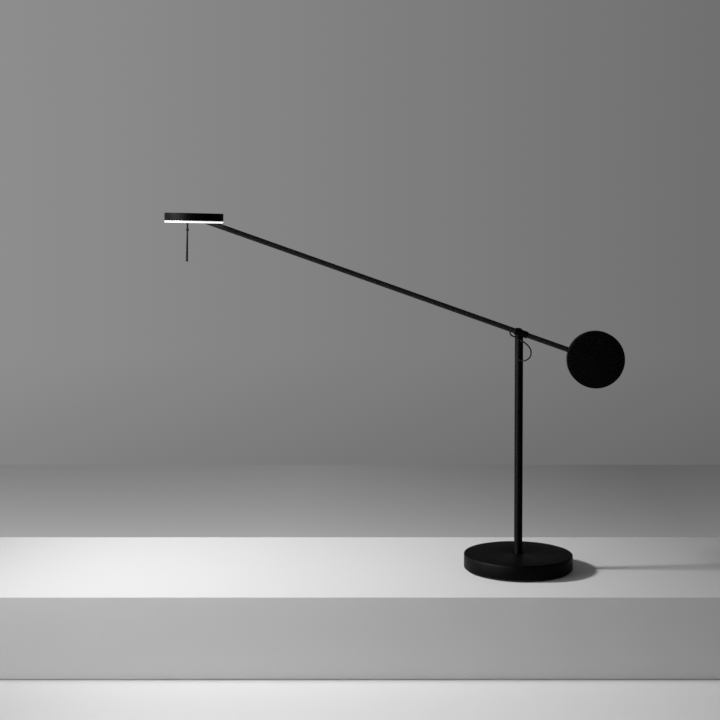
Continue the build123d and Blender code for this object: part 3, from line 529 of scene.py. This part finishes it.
def turned_metal(name, colour, rough=(0.22, 0.36)):
    """Turned or plated metal with fine tool lines."""
    material, tree, shader = new_material(name)
    tarnish = ranged(tree, grain(tree, 0.006, 5.0), 0.0, 1.0)
    darker = tuple(channel * 0.82 for channel in colour)
    tree.links.new(mixed(tree, tarnish, colour, darker), shader.inputs["Base Color"])
    lines = grain(tree, 0.0004, stretch=(1, 1, 12))
    tree.links.new(ranged(tree, lines, *rough), shader.inputs["Roughness"])
    shader.inputs["Metallic"].default_value = 1.0
    raised(tree, shader, lines, 0.000008)
    return material


def rough_casting(name, colour):
    """Sand-cast iron, dark and pitted."""
    material, tree, shader = new_material(name)
    pits = grain(tree, 0.0022, 8.0)
    tree.links.new(
        mixed(tree, ranged(tree, pits, 0.0, 1.0), colour, lighter(colour, 0.06)),
        shader.inputs["Base Color"],
    )
    tree.links.new(ranged(tree, grain(tree, 0.009), 0.6, 0.85), shader.inputs["Roughness"])
    shader.inputs["Metallic"].default_value = 0.6
    raised(tree, shader, pits, 0.00018)
    return material


def foot_rubber(name, colour):
    """Dense rubber with a fine grain and a greyish bloom."""
    material, tree, shader = new_material(name)
    bloom = ranged(tree, grain(tree, 0.012, 6.0), 0.0, 1.0, start=0.4, end=0.75)
    tree.links.new(mixed(tree, bloom, colour, lighter(colour, 0.012)), shader.inputs["Base Color"])
    tree.links.new(ranged(tree, grain(tree, 0.0012), 0.75, 0.9), shader.inputs["Roughness"])
    shader.inputs["Specular IOR Level"].default_value = 0.25
    raised(tree, shader, grain(tree, 0.0005, 2.0), 0.00003)
    return material


def soft_jacket(name, colour):
    """The lead's jacket: soft matte plastic, slightly drawn along its length."""
    material, tree, shader = new_material(name)
    wear = ranged(tree, grain(tree, 0.003, 5.0), 0.0, 1.0, start=0.4, end=0.75)
    tree.links.new(mixed(tree, wear, colour, lighter(colour, 0.003)), shader.inputs["Base Color"])
    tree.links.new(ranged(tree, grain(tree, 0.0009), 0.5, 0.65), shader.inputs["Roughness"])
    shader.inputs["Specular IOR Level"].default_value = 0.12
    raised(tree, shader, grain(tree, 0.0003, 2.0), 0.000012)
    return material


def lit_opal(name, colour, glow):
    """Opal acrylic, lit from behind, with faint clouds in its colour and its light."""
    material, tree, shader = new_material(name)
    cloud = ranged(tree, grain(tree, 0.03, 2.0), 0.0, 1.0)
    tree.links.new(mixed(tree, cloud, colour, lighter(colour, 0.3)), shader.inputs["Base Color"])
    tree.links.new(
        mixed(tree, cloud, (1.0, 0.985, 0.96), (1.0, 0.99, 0.975)),
        shader.inputs["Emission Color"],
    )
    shader.inputs["Emission Strength"].default_value = glow
    tree.links.new(ranged(tree, grain(tree, 0.002), 0.38, 0.46), shader.inputs["Roughness"])
    raised(tree, shader, grain(tree, 0.0006, 2.0), 0.000008)
    return material


def light_chip(name, colour):
    """The yellow phosphor of a small white light."""
    material, tree, shader = new_material(name)
    grains = ranged(tree, grain(tree, 0.0004, 3.0), 0.0, 1.0)
    tree.links.new(mixed(tree, grains, colour, lighter(colour, 0.2)), shader.inputs["Base Color"])
    tree.links.new(ranged(tree, grain(tree, 0.0006), 0.25, 0.4), shader.inputs["Roughness"])
    raised(tree, shader, grain(tree, 0.0004, 2.0), 0.00001)
    return material


def pale_plinth(name, colour):
    """Plain pale paint on the plinth and the floor."""
    material, tree, shader = new_material(name)
    cloud = ranged(tree, grain(tree, 0.4, 3.0), 0.0, 1.0)
    darker = tuple(channel * 0.985 for channel in colour)
    tree.links.new(mixed(tree, cloud, colour, darker), shader.inputs["Base Color"])
    tree.links.new(ranged(tree, grain(tree, 0.05), 0.8, 0.9), shader.inputs["Roughness"])
    shader.inputs["Specular IOR Level"].default_value = 0.0
    raised(tree, shader, grain(tree, 0.002, 3.0), 0.00002)
    return material


def glowing_floor_with_painted_light(name, strength, fading):
    """The grey floor of the room behind: a glowing surface with painted light, fading with depth and to the right.
    """
    material, tree, shader = new_material(name)
    shader.inputs["Base Color"].default_value = (0, 0, 0, 1)
    shader.inputs["Roughness"].default_value = 0.9
    shader.inputs["Specular IOR Level"].default_value = 0.0
    coordinates = tree.nodes.new("ShaderNodeTexCoord")
    split = tree.nodes.new("ShaderNodeSeparateXYZ")
    tree.links.new(coordinates.outputs["Object"], split.inputs["Vector"])
    depth = tree.nodes.new("ShaderNodeMath")
    depth.operation = "POWER"
    depth.inputs[1].default_value = -fading
    tree.links.new(split.outputs["Y"], depth.inputs[0])
    painted_light_right_share = 0.58
    sideways = ranged(
        tree, split.outputs["X"], strength, painted_light_right_share * strength, start=-0.55, end=0.55
    )
    shader.inputs["Emission Color"].default_value = (1, 1, 1, 1)
    tree.links.new(
        combined(tree, "MULTIPLY", depth.outputs["Value"], sideways),
        shader.inputs["Emission Strength"],
    )
    return material


made_materials = {}


def finish_for(context, slot):
    """The material of one of the record's slots, made once."""
    if slot in made_materials:
        return made_materials[slot]
    finishes = context.scene.lamp_finishes
    coat = tuple(finishes.coat)
    makers = {
        "black_paint": lambda: matte_coat("matte black coat", coat),
        "head_paint": lambda: matte_coat("matte black head coat", coat, 0.0006, (0.46, 0.54), 0.03),
        "rod_paint": lambda: matte_coat("satin black rod coat", lighter(coat, 0.01), 0.0004),
        "black_plastic": lambda: moulded_plastic("black moulding", coat),
        "black_nylon": lambda: moulded_plastic("black nylon", lighter(coat, 0.01)),
        "black_screw": lambda: turned_metal("black oxide steel", (0.03, 0.03, 0.032), (0.35, 0.5)),
        "screw_steel": lambda: turned_metal("turned steel", (0.5, 0.5, 0.52)),
        "plain_steel": lambda: turned_metal("plated steel", (0.42, 0.42, 0.44), (0.3, 0.45)),
        "bush_brass": lambda: turned_metal("machined brass", (0.62, 0.43, 0.18)),
        "spreader_metal": lambda: turned_metal("bare aluminium", (0.72, 0.72, 0.74), (0.3, 0.4)),
        "board_white": lambda: moulded_plastic("white board mask", (0.86, 0.86, 0.85), shine=0.4),
        "led_phosphor": lambda: light_chip("light phosphor", (0.95, 0.82, 0.36)),
        "cast_iron": lambda: rough_casting("cast iron", (0.09, 0.09, 0.1)),
        "foot_rubber": lambda: foot_rubber("foot rubber", lighter(coat, 0.008)),
        "lead_jacket": lambda: soft_jacket("lead jacket", coat),
        "diffuser_opal": lambda: lit_opal("lit opal", tuple(finishes.opal), finishes.glow),
    }
    made_materials[slot] = makers[slot]()
    return made_materials[slot]


# ---------------------------------------------------------------- pieces


class LAMP_OT_camera(bpy.types.Operator):
    """Place the camera where the photograph was taken from"""

    bl_idname = "lamp.camera"
    bl_label = "Camera"

    def execute(self, context):
        select_nothing()
        place = (-0.2134, -2.6839, 0.6639)
        downward = 2.0
        bpy.ops.object.camera_add(
            location=place, rotation=(math.radians(90 - downward), 0, CAMERA_YAW)
        )
        camera = context.object
        camera.data.lens = 69.438
        camera.data.sensor_width = 36.0
        camera.data.shift_y = -0.1177
        camera.data.clip_end = 60.0
        context.scene.camera = camera
        return {"FINISHED"}


class LAMP_OT_lead(bpy.types.Operator):
    """Lay the free loop of the lead from the arm, past the stem's front, to the stem"""

    bl_idname = "lamp.lead"
    bl_label = "Lead loop"

    def execute(self, context):
        sizes = context.scene.lamp_lead
        exit_low, exit_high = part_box("arm_lead_bushing")
        mouth = Vector((0.003297, -0.008159, 0.407))
        out_of_stem = Vector((0.3746, -0.9272, 0.0))
        straight_end = 0.003
        start = Vector(((exit_low.x + exit_high.x) / 2, arm_pivot.y, exit_low.z))
        below_arm = [  # across, forward and down from the lead's exit in the arm
            (0.0, 0.0, 0.0022),
            (0.0008, 0.0001, 0.0042),
            (0.0025, 0.0002, 0.0059),
            (0.0055, 0.0003, 0.0075),
            (0.0108, 0.0004, 0.0098),
            (0.0184, 0.0005, 0.0139),
            (0.0264, 0.0009, 0.0187),
            (0.0333, 0.0015, 0.0244),
        ]
        before_stem = [  # across, forward and up from the stem bushing's mouth
            (0.0169, 0.0091, 0.0238),
            (0.0187, 0.0094, 0.0168),
            (0.0180, 0.0096, 0.0102),
            (0.0146, 0.0097, 0.0046),
            (0.0099, 0.0093, 0.0013),
            (0.0059, 0.0080, -0.0003),
            (0.0029, 0.0059, -0.0004),
        ]
        points = [
            start,
            *(start + Vector((across, -forward, -down)) for across, forward, down in below_arm),
            *(mouth + Vector((across, -forward, up)) for across, forward, up in before_stem),
            mouth + out_of_stem * straight_end,
            mouth,
        ]
        route = bpy.data.curves.new("lead_route", "CURVE")
        route.dimensions = "3D"
        route.resolution_u = 10
        spline = route.splines.new("NURBS")
        spline.points.add(len(points) - 1)
        for control, point in zip(spline.points, points):
            control.co = (*point, 1)
        spline.order_u = 3
        spline.use_endpoint_u = True
        holder = bpy.data.objects.new("lead_route", route)
        context.scene.collection.objects.link(holder)
        context.view_layer.update()
        line = bpy.data.meshes.new_from_object(holder.evaluated_get(context.evaluated_depsgraph_get()))
        bpy.data.meshes.remove(line)
        route.bevel_depth = sizes.diameter / 2
        route.bevel_resolution = 6
        route.use_fill_caps = True
        select_only(holder)
        bpy.ops.object.convert(target="MESH")
        lead = context.object
        lead.name = "lead_loop_cord"
        smooth(lead, 60)
        lead.data.materials.clear()
        lead.data.materials.append(finish_for(context, "lead_jacket"))
        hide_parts("lead_loop")
        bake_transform(lead)
        return {"FINISHED"}


class LAMP_OT_base(bpy.types.Operator):
    """Turn the base cover and its inset foot"""

    bl_idname = "lamp.base"
    bl_label = "Base"

    def execute(self, context):
        sizes = context.scene.lamp_base
        low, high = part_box("base_cover")
        edge_centre = (sizes.radius - sizes.edge_radius, high.z - sizes.edge_radius)
        lower_edge = 0.0006
        lower_bow = 0.0002
        recess_edge = 0.0004
        recess_bow = 0.0001
        stations = [
            (sizes.radius - sizes.wall, low.z),
            (sizes.radius - lower_edge, low.z),
            (sizes.radius - lower_bow, low.z + lower_bow),
            (sizes.radius, low.z + lower_edge),
            *rounded(*edge_centre, sizes.edge_radius, 0),
            (sizes.recess_radius + recess_edge, high.z),
            (sizes.recess_radius + recess_bow, high.z - recess_bow),
            (sizes.recess_radius, high.z - recess_edge),
            (sizes.recess_radius, high.z - sizes.wall),
            (sizes.radius - sizes.wall, high.z - sizes.wall),
        ]
        cover = turned("base_cover_shell", stations, 192)
        gland_low, gland_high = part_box("cord_gland")
        gland_height = (gland_low.z + gland_high.z) / 2
        gland_radius = (gland_high.z - gland_low.z) / 2
        flange = 0.001
        through = 0.008
        back = placed(Vector((0, gland_high.y, gland_height)), Vector((1, 0, 0)), side_axis)
        cut_away(cover, peg(gland_radius - flange, through, back))
        smooth(cover)
        finish_piece(context, cover, "base", "base_cover", "black_paint")

        foot_low, foot_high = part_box("foot_pad")
        radius = (foot_high.x - foot_low.x) / 2
        edge = 0.0008
        bow = 0.0002
        middle_hole = 0.004
        hollow = 0.0006
        ring_width = 0.0125
        ring_slope = 0.0005
        stations = [
            (radius - edge, 0.0),
            (radius - bow, bow),
            (radius, edge),
            (radius, foot_high.z),
            (middle_hole, foot_high.z),
            (middle_hole, hollow),
            (radius - ring_width + ring_slope, hollow),
            (radius - ring_width, 0.0),
        ]
        foot = turned("foot_ring_pad", stations, 160)
        smooth(foot)
        finish_piece(context, foot, "base", "foot_pad", "foot_rubber")
        return {"FINISHED"}


class LAMP_OT_stem(bpy.types.Operator):
    """Draw the stem tube"""

    bl_idname = "lamp.stem"
    bl_label = "Stem"

    def execute(self, context):
        sizes = context.scene.lamp_stem
        low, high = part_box("stem_tube")
        edge = 0.0001
        stations = [
            (sizes.radius - sizes.wall, low.z),
            (sizes.radius - edge, low.z),
            (sizes.radius, low.z + edge),
            (sizes.radius, high.z - edge),
            (sizes.radius - edge, high.z),
            (sizes.radius - sizes.wall, high.z),
        ]
        stem = turned("stem_tube_skin", stations, 96)
        smooth(stem)
        finish_piece(context, stem, "stem", "stem_tube", "black_paint")
        return {"FINISHED"}


class LAMP_OT_arm(bpy.types.Operator):
    """Draw the arm tube"""

    bl_idname = "lamp.arm"
    bl_label = "Arm"

    def execute(self, context):
        sizes = context.scene.lamp_arm
        edge = 0.0001
        stations = [
            (sizes.radius - sizes.wall, -sizes.head_end),
            (sizes.radius - edge, -sizes.head_end),
            (sizes.radius, -sizes.head_end + edge),
            (sizes.radius, sizes.weight_end),
            (sizes.radius - sizes.wall, sizes.weight_end),
        ]
        arm = turned("arm_tube_skin", stations, 64)
        set_in_place(arm, placed(arm_pivot, side_axis, along_arm))
        smooth(arm)
        # The arm takes a lighter copy of the black coat: the coat's own black plus painted light, so the head's
        # glow shows more strongly along the arm.
        coat = matte_coat("matte black arm coat lightened for painted light", lighter(context.scene.lamp_finishes.coat, 0.022))
        finish_piece(context, arm, "arm", "arm_tube", "black_paint", coat)
        return {"FINISHED"}


class LAMP_OT_counterweight(bpy.types.Operator):
    """Turn the counterweight, with the set screws' holes in its back"""

    bl_idname = "lamp.counterweight"
    bl_label = "Counterweight"

    def execute(self, context):
        sizes = context.scene.lamp_counterweight
        half = sizes.thickness / 2
        rim = sizes.radius - sizes.edge
        stations = [
            (rim, -half),
            *rounded(rim, -half + sizes.edge, sizes.edge, -90)[1:],
            *rounded(rim, half - sizes.edge, sizes.edge, 0, 4),
        ]
        weight = turned("counterweight_disc", stations, 192, closed=False)
        centre = arm_pivot + along_arm * sizes.reach
        across = along_arm.cross(side_axis)
        set_in_place(weight, placed(centre, along_arm, side_axis))
        arm_radius = context.scene.lamp_arm.radius
        screw_insets = (0.008, 0.020)
        for inset in screw_insets:
            middle = centre + along_arm * (inset - sizes.radius) + side_axis * (half + arm_radius)
            cut_away(
                weight, peg(sizes.screw_hole_radius, half, placed(middle, across, side_axis), 32)
            )
        smooth(weight)
        finish_piece(context, weight, "arm", "counterweight", "black_paint")
        return {"FINISHED"}


class LAMP_OT_head(bpy.types.Operator):
    """Turn the lamp head's housing"""

    bl_idname = "lamp.head"
    bl_label = "Head housing"

    def execute(self, context):
        sizes = context.scene.lamp_head
        half = sizes.height / 2
        inner = sizes.radius - sizes.wall
        middle = 0.002
        lower_edge = 0.0002
        stations = [
            (middle, half - sizes.wall),
            (inner, half - sizes.wall),
            (inner, -half),
            (sizes.radius - lower_edge, -half),
            (sizes.radius, -half + lower_edge),
            *rounded(sizes.radius - sizes.edge, half - sizes.edge, sizes.edge, 0, 4),
            (middle, half),
        ]
        housing = turned("head_housing_shell", stations, 192, closed=False)
        set_in_place(housing, head_place(context))
        smooth(housing)
        finish_piece(context, housing, "head", "head_housing", "head_paint")
        return {"FINISHED"}


class LAMP_OT_diffuser(bpy.types.Operator):
    """Turn the opal diffuser, and cut the arm's slot and the handle's hole"""

    bl_idname = "lamp.diffuser"
    bl_label = "Diffuser"

    def execute(self, context):
        sizes = context.scene.lamp_head
        half = sizes.height / 2
        bottom = -half - sizes.diffuser_proud
        rim_inset = 0.0002
        play = 0.00015
        lip = sizes.radius - rim_inset
        ring = sizes.radius - sizes.wall - play
        ring_wall = 0.002
        ring_top = -half + 0.0045
        inside = bottom + sizes.diffuser_face
        edge = 0.0005
        stations = [
            (lip - edge, bottom),
            *rounded(lip - edge, bottom + edge, edge, -90, 4)[1:],
            (lip, -half),
            (ring, -half),
            (ring, ring_top),
            (ring - ring_wall, ring_top),
            (ring - ring_wall, inside),
        ]
        place = head_place(context)
        diffuser = turned("diffuser_opal_disc", stations, 192, closed=False)
        set_in_place(diffuser, place)
        past_rim = 0.01
        past_face = 0.00002  # keeps a skin from staying in the slot
        slot = (
            sizes.radius + sizes.slot_back + past_rim,
            2 * sizes.slot_half_width,
            2 * (sizes.diffuser_face + past_face),
        )
        middle = Vector(((sizes.radius - sizes.slot_back + past_rim) / 2, 0, bottom))
        cut_away(diffuser, block(slot, place @ Matrix.Translation(middle)))
        hole = place @ Matrix.Translation((-sizes.handle_offset, 0, bottom))
        cut_away(diffuser, peg(sizes.handle_hole_radius, 2 * sizes.diffuser_face, hole, 32))
        smooth(diffuser)
        finish_piece(context, diffuser, "head", "diffuser", "diffuser_opal")
        finishes = context.scene.lamp_finishes
        # The diffuser's side gets a darker copy of the opal colour, a painted shade, and a weaker glow than the
        # face.
        shaded_opal = tuple(channel * finishes.rim_shade for channel in finishes.opal)
        diffuser.data.materials.append(lit_opal("lit opal side with painted shade", shaded_opal, finishes.rim_glow))
        up = place.to_3x3() @ Vector((0, 0, 1))
        for polygon in diffuser.data.polygons:
            polygon.material_index = 1 if abs(polygon.normal.dot(up)) < 0.5 else 0
        return {"FINISHED"}


class LAMP_OT_cad_finishes(bpy.types.Operator):
    """Finish the lamp's CAD nodes, and shade their curved faces smooth"""

    bl_idname = "lamp.cad_finishes"
    bl_label = "Fittings"

    def execute(self, context):
        for part in frame["record"]["subparts"]:
            node = frame["nodes"][part["node"]]
            node.data.materials.clear()
            node.data.materials.append(finish_for(context, part["material_slot"]))
            for polygon in node.data.polygons:
                polygon.material_index = 0
                polygon.use_smooth = True
            joined = node.modifiers.new("joined corners", "WELD")
            joined.merge_threshold = SAME_POINT
            edges = node.modifiers.new("sharp edges", "EDGE_SPLIT")
            edges.split_angle = math.radians(30)
        return {"FINISHED"}


# ---------------------------------------------------------------- stage


def add_key_light(context):
    """A soft oval beam from a lamp to the left, a little before the desk lamp."""
    sizes = context.scene.lamp_stage
    place = (-3.5, -0.27, 2.2)
    bpy.ops.object.light_add(type="SPOT", location=place)
    key = context.object
    key.name = "key_light"
    key.data.energy = sizes.key_power
    key.data.shadow_soft_size = 0.29
    key.data.spot_size = sizes.key_cone
    key.data.spot_blend = 1.0
    beam = Vector((sizes.key_aim, 0, 0)) - key.location
    key.rotation_euler = beam.to_track_quat("-Z", "Y").to_euler()
    key.scale = (sizes.key_stretch, 1, 1)


def add_fill_light(context):
    """A square softbox before the lamp, far to the left."""
    place = (-1.9, -1.25, 0.6)
    target = Vector((-0.4, -0.2, 0))
    bpy.ops.object.light_add(type="AREA", location=place)
    fill = context.object
    fill.name = "fill_light"
    fill.data.energy = context.scene.lamp_stage.fill_power
    fill.data.size = 1.0
    beam = target - fill.location
    fill.rotation_euler = beam.to_track_quat("-Z", "Y").to_euler()


def add_background(tree, level):
    """One of the greys of the world, at this brightness."""
    background = tree.nodes.new("ShaderNodeBackground")
    background.inputs["Color"].default_value = (1, 1, 1, 1)
    background.inputs["Strength"].default_value = level
    return background


def choose(tree, factor, first, second):
    """The first shader where the factor is nought, and the second where it is one."""
    choice = tree.nodes.new("ShaderNodeMixShader")
    tree.links.new(factor, choice.inputs["Fac"])
    tree.links.new(first.outputs[0], choice.inputs[1])
    tree.links.new(second.outputs[0], choice.inputs[2])
    return choice


def set_world(context):
    """Light from all round, a bright side to the left for reflections, and a grey backdrop with painted light,
    lighter to the left.
    """
    world = bpy.data.worlds.new("studio")
    context.scene.world = world
    world.use_nodes = True
    tree = world.node_tree
    tree.nodes.clear()
    output = tree.nodes.new("ShaderNodeOutputWorld")
    direction = tree.nodes.new("ShaderNodeTexCoord")
    split = tree.nodes.new("ShaderNodeSeparateXYZ")
    tree.links.new(direction.outputs["Generated"], split.inputs["Vector"])

    ambient = add_background(tree, context.scene.lamp_stage.ambient_level)
    mirrored = add_background(tree, 1.0)
    softbox_level = 24.0
    share_behind = 0.02
    wall_level = 0.1
    bright_left = ranged(tree, split.outputs["X"], softbox_level, 0.0, start=-0.8, end=-0.5)
    from_front = ranged(tree, split.outputs["Y"], 1.0, share_behind, start=-0.4, end=0.15)
    softbox = combined(tree, "MULTIPLY", bright_left, from_front)
    grey_behind = ranged(tree, split.outputs["Y"], 0.0, wall_level, start=0.3, end=0.8)
    tree.links.new(combined(tree, "ADD", softbox, grey_behind), mirrored.inputs["Strength"])
    # The backdrop is painted light: brighter to the left, where the key light stands, darker to the right, and a
    # little darker low down.
    backdrop = add_background(tree, 1.0)
    left_grey = 0.268
    right_grey = 0.156
    share_low_down = 0.84
    across = ranged(tree, split.outputs["X"], left_grey, right_grey, start=-0.28, end=0.24)
    upward = ranged(tree, split.outputs["Z"], share_low_down, 1.0, start=-0.17, end=-0.09)
    tree.links.new(combined(tree, "MULTIPLY", across, upward), backdrop.inputs["Strength"])

    rays = tree.nodes.new("ShaderNodeLightPath").outputs
    seen = combined(tree, "MAXIMUM", rays["Is Camera Ray"], rays["Is Transmission Ray"])
    unseen = choose(tree, rays["Is Glossy Ray"], ambient, mirrored)
    whole = choose(tree, seen, unseen, backdrop)
    tree.links.new(whole.outputs["Shader"], output.inputs["Surface"])


def add_slab(name, low, high, material, yaw, edge=0):
    """A plain slab that isn't part of the lamp, with its edges rounded by a small radius."""
    select_nothing()
    middle = (Vector(low) + Vector(high)) / 2
    bpy.ops.mesh.primitive_cube_add(size=1, location=middle)
    slab = bpy.context.object
    slab.name = name
    slab.scale = Vector(high) - Vector(low)
    bpy.ops.object.transform_apply(location=True, rotation=True, scale=True)
    if edge:
        rounding = slab.modifiers.new("edges", "BEVEL")
        rounding.width = edge
        rounding.segments = 3
        bpy.ops.object.modifier_apply(modifier=rounding.name)
    set_in_place(slab, Matrix.Rotation(yaw, 4, "Z"))
    slab.data.materials.append(material)
    smooth(slab)


class LAMP_OT_stage(bpy.types.Operator):
    """Set the pale plinth, the floors, the light and the backdrop"""

    bl_idname = "lamp.stage"
    bl_label = "Stage"

    def execute(self, context):
        sizes = context.scene.lamp_stage
        finishes = context.scene.lamp_finishes
        pale = pale_plinth("pale paint", tuple(finishes.plinth))
        pale_floor = pale_plinth("pale floor", tuple(finishes.floor))
        # The room floor glows with painted light instead of taking the lamps' light.
        grey = glowing_floor_with_painted_light("grey floor", finishes.room_floor, finishes.room_fading)
        floor = -sizes.plinth_height
        under_floor = floor - 0.02
        gap = floor + 0.001
        foot_inset = 0.006
        plinth_reach = 2.6
        floor_reach = 6.0
        room_depth = 2.05
        add_slab(
            "plinth",
            (-plinth_reach, -sizes.plinth_front, gap),
            (plinth_reach, sizes.plinth_back, 0.0),
            pale, sizes.yaw, edge=0.001,
        )
        add_slab(
            "plinth_foot",
            (-plinth_reach, foot_inset - sizes.plinth_front, floor),
            (plinth_reach, sizes.plinth_back, gap),
            pale, sizes.yaw,
        )
        add_slab(
            "front_floor",
            (-floor_reach, -floor_reach, under_floor),
            (floor_reach, 0.0, floor),
            pale_floor, sizes.yaw,
        )
        add_slab(
            "room_floor",
            (-floor_reach, 0.0, under_floor),
            (floor_reach, room_depth, floor),
            grey, sizes.yaw,
        )
        select_nothing()
        add_key_light(context)
        add_fill_light(context)
        set_world(context)
        context.scene.view_settings.view_transform = "Standard"
        return {"FINISHED"}


# ---------------------------------------------------------------- panel and registration

OPERATORS = (
    LAMP_OT_camera,
    LAMP_OT_lead,
    LAMP_OT_base,
    LAMP_OT_stem,
    LAMP_OT_arm,
    LAMP_OT_counterweight,
    LAMP_OT_head,
    LAMP_OT_diffuser,
    LAMP_OT_cad_finishes,
    LAMP_OT_stage,
)


class LAMP_PT_panel(bpy.types.Panel):
    """The steps that make the lamp, and the sizes and colours that they use"""

    bl_label = "Balance Lamp"
    bl_idname = "LAMP_PT_panel"
    bl_space_type = "VIEW_3D"
    bl_region_type = "UI"
    bl_category = "Balance Lamp"

    def draw(self, context):
        for operator in OPERATORS:
            self.layout.operator(operator.bl_idname)
        for name, group in PROPERTY_GROUPS.items():
            settings = getattr(context.scene, name)
            box = self.layout.box()
            box.label(text=name.replace("lamp_", "").capitalize())
            for field in group.__annotations__:
                box.prop(settings, field)


def register():
    """Adds the sizes, the operators and the panel to Blender."""
    for name, group in PROPERTY_GROUPS.items():
        bpy.utils.register_class(group)
        setattr(bpy.types.Scene, name, bpy.props.PointerProperty(type=group))
    for operator in OPERATORS:
        bpy.utils.register_class(operator)
    bpy.utils.register_class(LAMP_PT_panel)


def unregister():
    """Takes them out again, in the opposite order."""
    bpy.utils.unregister_class(LAMP_PT_panel)
    for operator in reversed(OPERATORS):
        bpy.utils.unregister_class(operator)
    for name, group in reversed(PROPERTY_GROUPS.items()):
        delattr(bpy.types.Scene, name)
        bpy.utils.unregister_class(group)


def main():
    """Makes the lamp and its stage."""
    register()
    bpy.ops.lamp.camera()
    bpy.ops.lamp.lead()
    bpy.ops.lamp.base()
    bpy.ops.lamp.stem()
    bpy.ops.lamp.arm()
    bpy.ops.lamp.counterweight()
    bpy.ops.lamp.head()
    bpy.ops.lamp.diffuser()
    bpy.ops.lamp.cad_finishes()
    bpy.ops.lamp.stage()


if __name__ == "__main__":
    main()
